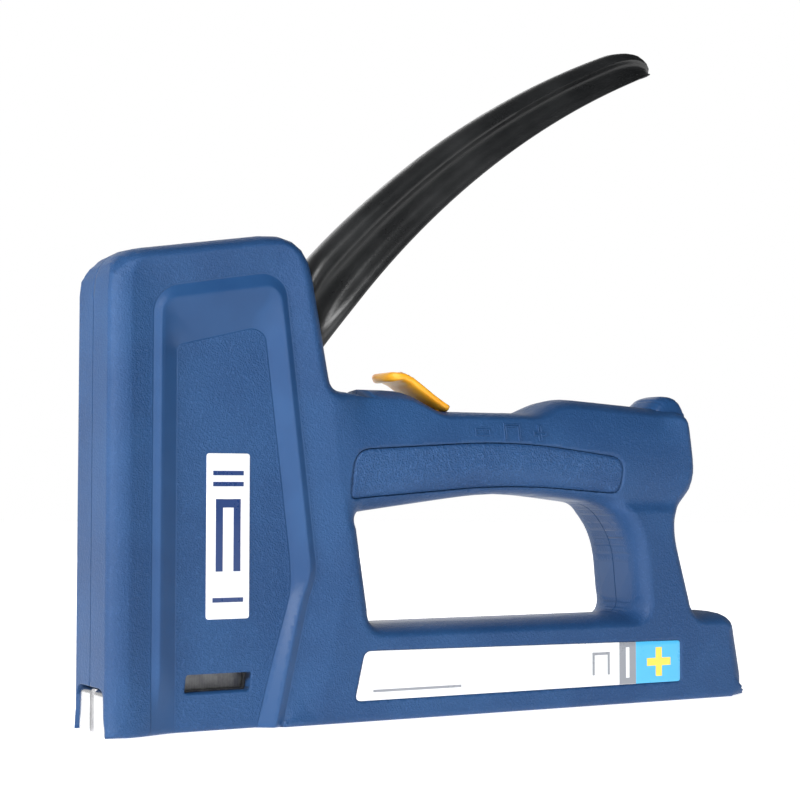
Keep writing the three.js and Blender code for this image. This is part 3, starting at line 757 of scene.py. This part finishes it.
# ---- grip pads ----
# A grained pad is pressed into each side of the grip and wraps under it to the hand hole.
def pad_plastic():
    finish = Finish("blue_grained_grip", Specular_IOR_Level=0.3)
    place = finish.place()
    texture = finish.noise(0.0005, 2.0, 0.6, place) * 0.6 + finish.noise(0.0010, 1.0, 0.5, place) * 0.4
    raised = texture.step(0.5, 0.7)
    cloud = finish.noise(0.02, 2.0, 0.5, place).step(0.35, 0.65)
    tone = finish.mix(cloud, (*linear(33, 68, 113), 1), (*linear(38, 75, 121), 1))
    # The grain's bumps are real, but the lighter blue on their raised points is a painted highlight where
    # light catches the grain.
    colour = finish.mix(raised * 0.25, tone, (*linear(84, 124, 176), 1))
    rough = raised * 0.1 + 0.45
    return finish.feed(Base_Color=colour, Roughness=rough, Normal=finish.bump(texture, 0.0007, 0.9))


pad_blue = pad_plastic()
pad_ring = ring_points(pad_line, [0.28], 1)


def pad_face(points):
    height, _ = skin(points)
    away = np.maximum(distance(points, pad_ring)[0], 0)
    return height - 0.05 - 0.35 * (1 - smooth(away / 0.6)), np.ones(len(points))


def grip_pad(side):
    name = "left_grip_pad" if side < 0 else "right_grip_pad"
    near_edge = ring_points(pad_ring, [0.12, 0.3, 0.6, 1.0], 1)
    mesh = plate_mesh(
        "pad", [pad_ring], pad_face, (lambda p: skin(p)[0] - 1.35, False), side, pitch=0.8, extra=near_edge,
    )
    pad = new_piece("grip_pad_left" if side < 0 else "grip_pad_right", mesh)
    mesh.materials.append(pad_blue)
    soften(pad)
    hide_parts(name)
    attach(pad, "body")


grip_pad(-1)
grip_pad(1)


# ---- labels and badges ----
# Printed film on both sides: a long label on the base and an upright badge on the head panel.
# The print is plain: a grey stripe, a light blue block with a yellow plus, and a staple sign.
def bar(finish, x, z, box_x, box_z, soft=0.00008):
    """1 inside a rectangle of the side view, in millimetres from the nose, 0 outside it."""
    parts = []
    for axis, (low, high), shift in ((x, box_x, ORIGIN), (z, box_z, 0)):
        low, high = (low - shift) * MM, (high - shift) * MM
        parts.append(axis.step(low - soft, low + soft) * axis.step(high - soft, high + soft, 1.0, 0.0))
    return parts[0] * parts[1]


def side_axes(finish):
    place = finish.place()
    return place, [finish.node("ShaderNodeSeparateXYZ", {}, {0: place}, out=i) for i in (0, 2)]


def film_surface(finish, place):
    wave = finish.noise(0.012, 2.0, 0.5, place)
    fine = finish.noise(0.0009, 2.0, 0.5, place)
    rough = wave * 0.12 + fine * 0.06 + 0.2
    return rough, finish.bump(wave + fine * 0.05, 0.0001, 0.35)


def label_film():
    finish = Finish("label_film", Coat_Weight=0.3)
    place, (x, z) = side_axes(finish)
    white = (*linear(240, 241, 244), 1)
    grey = (*linear(140, 143, 150), 1)
    colour = finish.mix(finish.noise(0.02, 1.0, 0.5, place) * 0.06, white, (*linear(215, 218, 224), 1))
    colour = finish.mix(bar(finish, x, z, (152.3, 158.1), (5.6, 18.4)), colour, grey)
    colour = finish.mix(bar(finish, x, z, (158.1, 175), (5.0, 19)), colour, (*linear(75, 180, 230), 1))
    for box_x, box_z in (((162.0, 170.4), (10.4, 12.6)), ((165.1, 167.3), (7.4, 15.6))):
        colour = finish.mix(bar(finish, x, z, box_x, box_z), colour, (*linear(255, 215, 80), 1))
    for box_x, box_z in (
        ((143.0, 149.0), (14.2, 15.0)), ((143.0, 143.8), (8.6, 15.0)), ((148.2, 149.0), (8.6, 15.0)),
        ((73.0, 100.0), (7.6, 8.3)), ((154.6, 155.8), (7.4, 16.0)),
    ):
        ink = white if box_x[0] > 150 else grey
        colour = finish.mix(bar(finish, x, z, box_x, box_z), colour, ink)
    rough, normal = film_surface(finish, place)
    return finish.feed(Base_Color=colour, Roughness=rough, Normal=normal)


def badge_film():
    finish = Finish("badge_film", Coat_Weight=0.3)
    place, (x, z) = side_axes(finish)
    ink = (*linear(22, 52, 104), 1)
    white = (*linear(238, 240, 244), 1)
    colour = finish.mix(finish.noise(0.02, 1.0, 0.5, place) * 0.06, white, (*linear(215, 218, 224), 1))
    for box_x, box_z in (
        ((29.2, 36.1), (56.2, 58.4)), ((29.2, 31.2), (40, 58.4)), ((34.1, 36.1), (40, 58.4)),
        ((28.4, 36.9), (64.4, 65.6)), ((28.4, 36.9), (61.6, 62.8)), ((28.4, 36.9), (32.2, 33.4)),
    ):
        colour = finish.mix(bar(finish, x, z, box_x, box_z), colour, ink)
    rough, normal = film_surface(finish, place)
    return finish.feed(Base_Color=colour, Roughness=rough, Normal=normal)


def film_piece(name, node, line, face, back, side, finish, pitch):
    near_edge = ring_points(line, [0.1, 0.3], 1)
    mesh = plate_mesh(name, [line], face, (back, False), side, pitch=pitch, extra=near_edge)
    film = new_piece(name, mesh)
    mesh.materials.append(finish)
    soften(film, 40)
    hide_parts(node)
    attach(film, "body")


label_print, badge_print = label_film(), badge_film()
label_ring = ring_points(label_line, [0.15], 1)
badge_line = along(rounded([(26.7, 28, 0.8), (26.7, 70, 0.8), (38.6, 70, 0.8), (38.6, 28, 0.8)]), 0.8)


def label_face(points):
    away = np.maximum(distance(points, label_ring)[0], 0)
    return skin(points)[0] - 0.04 - 0.08 * (1 - smooth(away / 0.3)), np.zeros(len(points))


def badge_face(points):
    away = np.maximum(distance(points, badge_line)[0], 0)
    return 10.72 - 0.12 * (1 - smooth(away / 0.3)) + 0 * points[:, 0], np.zeros(len(points))


for side, hand in ((-1, "left"), (1, "right")):
    film_piece(
        f"label_{hand}", f"{hand}_label", label_ring, label_face,
        lambda p: skin(p)[0] - 0.32, side, label_print, 1.2,
    )
    film_piece(
        f"badge_{hand}", f"{hand}_badge", badge_line, badge_face,
        lambda p: 10.42 + 0 * p[:, 0], side, badge_print, 1.2,
    )


# ---- the squeeze lever ----
# A long curved handle moulded in black plastic, hollow underneath, with a crowned back, a
# finger groove along each side and a flared lip. Its steel arm is riveted between the cheeks.
PIVOT = (46, 90)


def arc(a, b, c, count):
    """Points along the circle through three points."""
    (ax, az), (bx, bz), (cx, cz) = a, b, c
    twice = 2 * (ax * (bz - cz) + bx * (cz - az) + cx * (az - bz))
    sa, sb, sc = (x * x + z * z for x, z in (a, b, c))
    x = (sa * (bz - cz) + sb * (cz - az) + sc * (az - bz)) / twice
    z = (sa * (cx - bx) + sb * (ax - cx) + sc * (bx - ax)) / twice
    start, end = math.atan2(az - z, ax - x), math.atan2(cz - z, cx - x)
    radius = math.hypot(ax - x, az - z)
    return [(x + radius * math.cos(start + (end - start) * k / count),
             z + radius * math.sin(start + (end - start) * k / count)) for k in range(count + 1)]


def even(points, count):
    """The same open line with evenly spaced points."""
    points = np.array(points, float)
    steps = np.concatenate([[0], np.cumsum(np.hypot(*np.diff(points, axis=0).T))])
    at = np.linspace(0, steps[-1], count)
    return np.stack([np.interp(at, steps, points[:, i]) for i in (0, 1)], 1)


def satin_black():
    finish = Finish("black_satin_plastic")
    place = finish.place()
    grain = finish.noise(0.0006, 2.0, 0.55, place)
    rub = finish.noise(0.018, 3.0, 0.6, place).step(0.35, 0.7)
    colour = finish.mix(rub, (*linear(24, 25, 26), 1), (*linear(33, 34, 35), 1))
    rough = rub * 0.1 + grain * 0.08 + 0.24
    return finish.feed(Base_Color=colour, Roughness=rough, Normal=finish.bump(grain, 0.00006, 0.4))


black = satin_black()


def lever_handle():
    stations = 90
    root_upper = [(-6.2, 0.5), (-5.2, 4.6), (-2, 7.2)]
    root_lower = [(-4.6, -4.2), (1.6, -6.8), (7, -5)]
    tip_upper = [(116.5, 100.5), (120.5, 100.5), (124.2, 99.0), (126.4, 97.2), (127.3, 95.9)]
    tip_lower = [(121.5, 92.7), (124.0, 93.9), (125.8, 94.7), (126.8, 95.2), (127.3, 95.7)]
    upper = even(root_upper + arc((14.1, 32.6), (59.4, 71.1), (112, 99.6), 40) + tip_upper, stations)
    lower = even(root_lower + arc((14.6, 8), (60, 55.6), (119, 91.8), 40) + tip_lower, stations)
    outer = [
        (0.0, 1.0), (0.30, 0.992), (0.55, 0.968), (0.76, 0.925), (0.90, 0.86), (0.97, 0.78), (0.985, 0.71),
        (0.93, 0.66), (0.85, 0.61), (0.80, 0.54), (0.79, 0.46), (0.81, 0.38), (0.87, 0.31), (0.97, 0.25),
        (1.10, 0.20), (1.22, 0.155), (1.30, 0.10), (1.33, 0.05), (1.32, 0.015), (1.29, 0.0),
    ]
    inner = [
        (1.16, 0.0), (1.12, 0.03), (0.95, 0.12), (0.70, 0.20),
        (0.63, 0.26), (0.63, 0.74), (0.5, 0.80), (0.0, 0.80),
    ]
    half = outer + inner
    net = bmesh.new()
    rows = []
    for k, (top, bottom) in enumerate(zip(upper, lower)):
        s = k / (stations - 1)
        flare = smooth((s - 0.10) / 0.16)
        from_end = math.dist(upper[-1], (top + bottom) / 2)
        plan = math.sqrt(max(0.0, 1 - max(0.0, 1 - from_end / 15) ** 2))
        width = 7.0 * max(plan, 0.12)
        open_in = float(smooth((from_end - 5) / 9))
        row = []
        for i, (w, t) in enumerate(half):
            if i < len(outer):
                side_in = 1 + (w - 1) * flare if i > 4 else w
                w = side_in if i > 5 else w
            elif w > 0.7:
                w = 0.63 + (w - 0.63) * flare
                t = t * open_in
            else:
                t = t * open_in
            x, z = bottom + (top - bottom) * t
            row.append((x + PIVOT[0] - ORIGIN, w * width, z + PIVOT[1]))
        rows.append(row)
    loops = []
    for row in rows:
        near = [net.verts.new((x * MM, -y * MM, z * MM)) for x, y, z in row]
        far = [net.verts.new((x * MM, y * MM, z * MM)) for x, y, z in row[1:-1]]
        loops.append(near + far[::-1])
    for a, b in zip(loops, loops[1:]):
        for k in range(len(a)):
            j = (k + 1) % len(a)
            net.faces.new((a[k], a[j], b[j], b[k]))
    count = len(half)
    for loop in (loops[0], loops[-1]):
        ring = list(loop)
        near, far = ring[:count], [ring[0]] + ring[count:][::-1] + [ring[count - 1]]
        split = len(outer)
        for side in (near, far):
            for k in range(split - 1, 0, -1):
                other = min(count - 1, split + (split - 1 - k))
                nxt = min(count - 1, other + 1)
                corners = [side[k], side[k - 1], side[nxt], side[other]]
                corners = list(dict.fromkeys(corners))
                if len(corners) > 2:
                    net.faces.new(corners)
    bmesh.ops.remove_doubles(net, verts=net.verts, dist=1e-6)
    mesh = closed_mesh(net, "handle")
    handle = new_piece("squeeze_handle", mesh)
    boolean(handle, prism(circle(*PIVOT, 2.9, 32), -20, 20))
    handle.data.materials.clear()
    handle.data.materials.append(black)
    soften(handle, 40)
    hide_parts("lever_handle")
    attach(handle, "lever")


lever_handle()


def arm_rivets():
    """Two short rivets that hold the steel arm between the cheeks, with domed ends."""
    for i, (x, z) in enumerate([(12.5, 17.5), (23, 29.5)]):
        net = bmesh.new()
        rows = []
        for y, radius in ((-5.35, 0.9), (-5.2, 1.3), (-4.9, 1.6), (4.9, 1.6), (5.2, 1.3), (5.35, 0.9)):
            ring = circle(x + PIVOT[0] - ORIGIN, z + PIVOT[1], radius, 24)
            rows.append([net.verts.new((a * MM, y * MM, b * MM)) for a, b in ring])
        for a, b in zip(rows, rows[1:]):
            for k in range(24):
                net.faces.new((a[k], a[(k + 1) % 24], b[(k + 1) % 24], b[k]))
        net.faces.new(rows[0])
        net.faces.new(rows[-1][::-1])
        mesh = closed_mesh(net, "rivet")
        rivet = new_piece(f"cheek_rivet_{i + 1}", mesh)
        mesh.materials.append(steel)
        soften(rivet)
        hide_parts(f"arm_rivet_{i + 1}")
        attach(rivet, "lever")


# ---- the power selector ----
# A yellow thumb tab with a rolled front edge and cross ribs. It slides on top of the grip, and
# its stem drops through the slot to the steel bar that limits the lever.
def warm_yellow():
    finish = Finish("yellow_plastic", Subsurface_Weight=0.12)
    finish.shader.inputs["Subsurface Radius"].default_value = (0.004, 0.002, 0.0008)
    place = finish.place()
    cloud = finish.noise(0.006, 2.0, 0.5, place)
    grain = finish.noise(0.0005, 2.0, 0.5, place)
    colour = finish.mix(cloud.step(0.3, 0.7), (*linear(240, 164, 34), 1), (*linear(246, 178, 50), 1))
    rough = grain * 0.12 + 0.28
    return finish.feed(Base_Color=colour, Roughness=rough, Normal=finish.bump(grain, 0.00005, 0.4))


yellow = warm_yellow()


def power_selector():
    spine = even([
        (82.0, 90.9), (83.5, 91.5), (86.2, 91.5), (88.6, 90.5),
        (91.5, 88.6), (95, 86.2), (98.6, 84.0), (101.4, 82.6),
    ], 46)
    net = bmesh.new()
    loops = []
    for k, (x, z) in enumerate(spine):
        s = k / 45
        ahead = spine[min(k + 1, 45)] - spine[max(k - 1, 0)]
        normal = np.array([-ahead[1], ahead[0]]) / math.hypot(*ahead)
        plan = (1 - (1 - min(s / 0.16, 1)) ** 2.4) ** (1 / 2.4)
        tail = (1 - max(0, (s - 0.9) / 0.1) ** 3)
        width = 7.4 * max(plan * tail, 0.25)
        thick = (1.25 + 0.35 * math.exp(-((s - 0.06) / 0.05) ** 2) - 0.25 * s) * max(min(plan, tail), 0.3)
        loop = []
        for i in range(40):
            a = 2 * math.pi * i / 40
            cy = math.copysign(abs(math.cos(a)) ** 0.35, math.cos(a))
            cn = math.copysign(abs(math.sin(a)) ** 0.6, math.sin(a))
            ribbed = 0.12 < s < 0.42 and cn > 0.6 and abs(cy) < 0.8
            rib = 0.28 * max(0, math.cos(2 * math.pi * (s - 0.11) / 0.075)) if ribbed else 0
            px, pz = np.array([x, z]) + normal * (cn * thick + rib)
            loop.append(net.verts.new(((px - ORIGIN) * MM, cy * width * MM, pz * MM)))
        loops.append(loop)
    for a, b in zip(loops, loops[1:]):
        for i in range(40):
            net.faces.new((a[i], a[(i + 1) % 40], b[(i + 1) % 40], b[i]))
    net.faces.new(loops[0])
    net.faces.new(loops[-1][::-1])
    mesh = closed_mesh(net, "tab")
    tab = new_piece("thumb_tab", mesh)
    boolean(tab, block(98.6, 101.6, -3.2, 3.2, 75.5, 83.4), "UNION")
    tab.data.materials.clear()
    tab.data.materials.append(yellow)
    soften(tab, 40)
    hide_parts("power_selector")
    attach(tab, "selector")


power_selector()


# ---- the steel nose ----
# One folded sheet behind the front of the shells, and a polished block at its foot that shows in
# the opening at the bottom of the nose, with the driver's groove down its middle.
def bright_metal():
    finish = Finish("bright_steel", Metallic=1.0)
    place = finish.place()
    drawn = finish.node("ShaderNodeMapping", {}, {0: place, 3: (0.15, 1, 1)})
    scratch = finish.noise(0.00035, 3.0, 0.6, drawn)
    cloud = finish.noise(0.008, 2.0, 0.5, place)
    colour = finish.mix(cloud.step(0.3, 0.7), (0.62, 0.62, 0.63, 1), (0.74, 0.74, 0.74, 1))
    rough = cloud * 0.12 + scratch * 0.1 + 0.1
    return finish.feed(Base_Color=colour, Roughness=rough, Normal=finish.bump(scratch, 0.00002, 0.4))


def dark_metal():
    finish = Finish("dark_steel", Metallic=1.0)
    place = finish.place()
    cloud = finish.noise(0.004, 3.0, 0.6, place)
    colour = finish.mix(cloud.step(0.3, 0.7), (0.10, 0.10, 0.105, 1), (0.2, 0.2, 0.2, 1))
    rough = cloud * 0.3 + 0.25
    return finish.feed(Base_Color=colour, Roughness=rough, Normal=finish.bump(cloud, 0.00004, 0.4))


# The dark steel finish serves the blued parts, and on the magazine channel, rail and staples it is painted
# shade for the deep window slot.
steel, blued_and_slot_shade = bright_metal(), dark_metal()
arm_rivets()


def nose_plate():
    front = rounded([(0.6, 0, 0), (0.6, 11.0, 1.6), (4.9, 11.0, 0), (4.9, 0, 0)], 6)
    plate = prism(front, -9.2, 9.2)
    sheet = prism(rounded([(3.4, 0, 0), (3.4, 30, 1), (4.9, 30, 0), (4.9, 0, 0)], 4), -8.2, 8.2)
    boolean(plate, sheet, "UNION")
    for side in (-1, 1):
        boolean(plate, block(3.4, 14.2, *sorted((side * 7.0, side * 8.2)), 0, 30), "UNION")
    boolean(plate, block(-4, 1.5, -1.6, 1.6, -4, 15))
    plate.name = "nose_steel"
    bevel = plate.modifiers.new("edge", "BEVEL")
    bevel.width = 0.25 * MM
    bevel.segments = 2
    bevel.limit_method = "ANGLE"
    plate.data.materials.clear()
    plate.data.materials.append(steel)
    soften(plate, 40)
    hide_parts("nose_plate")
    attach(plate, "body")


nose_plate()


# ---- screws and staples ----
# Five cross-head screws come in from the right side, and the staples stand glued together in one
# strip. Both repeat one small shape.
class Pattern:
    """A Geometry Nodes tree with named sizes that grows one plain mesh."""

    def __init__(self, name, **sizes):
        self.tree = bpy.data.node_groups.new(name, "GeometryNodeTree")
        self.sizes = sizes
        self.sockets = {}
        self.tree.interface.new_socket("Geometry", in_out="INPUT", socket_type="NodeSocketGeometry")
        for label, value in sizes.items():
            kind = "NodeSocketInt" if isinstance(value, int) else "NodeSocketFloat"
            socket = self.tree.interface.new_socket(label, in_out="INPUT", socket_type=kind)
            self.sockets[label] = socket.identifier
        self.tree.interface.new_socket("Geometry", in_out="OUTPUT", socket_type="NodeSocketGeometry")
        self.given = self.tree.nodes.new("NodeGroupInput")

    def size(self, label):
        return self.given.outputs[label]

    def node(self, kind, settings=None, sockets=None, out=0):
        made = self.tree.nodes.new(kind)
        for key, value in (settings or {}).items():
            setattr(made, key, value)
        for key, value in (sockets or {}).items():
            for part in value if isinstance(value, list) else [value]:
                if isinstance(part, bpy.types.NodeSocket):
                    self.tree.links.new(part, made.inputs[key])
                else:
                    made.inputs[key].default_value = part
        return made.outputs[out]

    def grow(self, name, last, material, points=((0, 0, 0),)):
        whole = self.node("GeometryNodeRealizeInstances", {}, {0: last})
        painted = self.node("GeometryNodeSetMaterial", {}, {0: whole, 2: material})
        self.tree.links.new(painted, self.tree.nodes.new("NodeGroupOutput").inputs[0])
        seed = bpy.data.meshes.new(name)
        seed.from_pydata([Vector(p) * MM for p in points], [], [])
        piece = new_piece(name, seed)
        modifier = piece.modifiers.new("grow", "NODES")
        modifier.node_group = self.tree
        for label, value in self.sizes.items():
            modifier[self.sockets[label]] = value
        graph = bpy.context.evaluated_depsgraph_get()
        mesh = bpy.data.meshes.new_from_object(piece.evaluated_get(graph))
        piece.modifiers.clear()
        piece.data = mesh
        mesh.name = name
        return piece


def shell_screws():
    pattern = Pattern(
        "cross_head_screw", Head_Radius=3.0 * MM, Shank_Radius=1.5 * MM, Shank_Length=15.6 * MM,
    )
    head = pattern.node(
        "GeometryNodeMeshCone", {},
        {
            "Vertices": 40, "Depth": 2.2 * MM,
            "Radius Top": pattern.size("Head_Radius"), "Radius Bottom": 1.5 * MM,
        },
    )
    shank = pattern.node(
        "GeometryNodeMeshCylinder", {},
        {"Vertices": 24, "Radius": pattern.size("Shank_Radius"), "Depth": pattern.size("Shank_Length")},
    )
    shank = pattern.node("GeometryNodeTransform", {}, {0: shank, "Translation": (0, 0, -7.9 * MM)})
    bars = [
        pattern.node("GeometryNodeMeshCube", {}, {"Size": size})
        for size in ((3.4 * MM, 0.8 * MM, 2.4 * MM), (0.8 * MM, 3.4 * MM, 2.4 * MM))
    ]
    cross = pattern.node("GeometryNodeTransform", {}, {
        0: pattern.node("GeometryNodeJoinGeometry", {}, {0: bars}), "Translation": (0, 0, 2.0 * MM),
    })
    cut = pattern.node("GeometryNodeMeshBoolean", {"operation": "DIFFERENCE"}, {0: head, 1: cross})
    screw = pattern.node("GeometryNodeJoinGeometry", {}, {0: [cut, shank]})
    turned = pattern.node("GeometryNodeTransform", {}, {0: screw, "Rotation": (-math.pi / 2, 0, 0)})
    placed = pattern.node(
        "GeometryNodeInstanceOnPoints", {}, {"Points": pattern.size("Geometry"), "Instance": turned},
    )
    screws = pattern.grow("cross_head_screws", placed, blued_and_slot_shade, [(x - ORIGIN, 8.5, z) for x, z in screw_places])
    soften(screws)
    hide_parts(*[f"shell_screw_{i + 1}" for i in range(5)])
    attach(screws, "body")


shell_screws()


def staple_strip():
    low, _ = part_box("staple_strip")
    wire = 0.66 * MM
    pattern = Pattern("glued_staples", Staples=74)
    crown = pattern.node("GeometryNodeMeshCube", {}, {"Size": (wire, 10.8 * MM, 0.55 * MM)})
    crown = pattern.node("GeometryNodeTransform", {}, {0: crown, "Translation": (0, 0, 9.725 * MM)})
    legs = []
    for side in (-1, 1):
        leg = pattern.node("GeometryNodeMeshCube", {}, {"Size": (wire, 0.55 * MM, 9.45 * MM)})
        legs.append(pattern.node(
            "GeometryNodeTransform", {}, {0: leg, "Translation": (0, side * 5.125 * MM, 4.725 * MM)},
        ))
    staple = pattern.node("GeometryNodeJoinGeometry", {}, {0: [crown, *legs]})
    line = pattern.node(
        "GeometryNodeMeshLine", {"mode": "OFFSET"},
        {
            "Count": pattern.size("Staples"),
            "Start Location": (low.x + 0.35 * MM, 0, low.z),
            "Offset": (0.7 * MM, 0, 0),
        },
    )
    placed = pattern.node("GeometryNodeInstanceOnPoints", {}, {"Points": line, "Instance": staple})
    # The staples are bright steel; drawing them in the dark steel finish is painted shade for the deep window
    # slot they show through.
    strip = pattern.grow("glued_staples", placed, blued_and_slot_shade)
    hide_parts("staple_strip")
    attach(strip, "magazine")


staple_strip()


# ---- what keeps its moulded or pressed shape ----
# Steel pressings, pins, springs, the rubber bumper and the magazine's end cap.
def soft_rubber():
    finish = Finish("black_rubber")
    place = finish.place()
    bloom = finish.noise(0.004, 3.0, 0.6, place)
    colour = finish.mix(bloom.step(0.3, 0.7), (0.012, 0.012, 0.012, 1), (0.03, 0.03, 0.03, 1))
    return finish.feed(Base_Color=colour, Roughness=bloom * 0.2 + 0.7, Normal=finish.bump(bloom, 0.0001, 0.3))


rubber = soft_rubber()
kept = {
    "bumper": rubber,
    "spring_cap": black,
    "magazine_cap": black,
    "magazine_catch": yellow,
    "plunger": blued_and_slot_shade,
    "main_spring": blued_and_slot_shade,
    "lever_arm": blued_and_slot_shade,
    "power_bar": blued_and_slot_shade,
    "pusher": blued_and_slot_shade,
    "driver_blade": steel,
    "driver_rivet_1": steel,
    "driver_rivet_2": steel,
    "arm_roller": steel,
    "lever_pin": steel,
    # The magazine channel and rail are bright steel; the dark steel finish on them is painted shade for the
    # deep window slot.
    "magazine_channel": blued_and_slot_shade,
    "magazine_rail": blued_and_slot_shade,
    "pusher_spring": steel,
    "pusher_rod": steel,
}
for name, finish in kept.items():
    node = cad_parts[name]
    node.data.materials.clear()
    node.data.materials.append(finish)
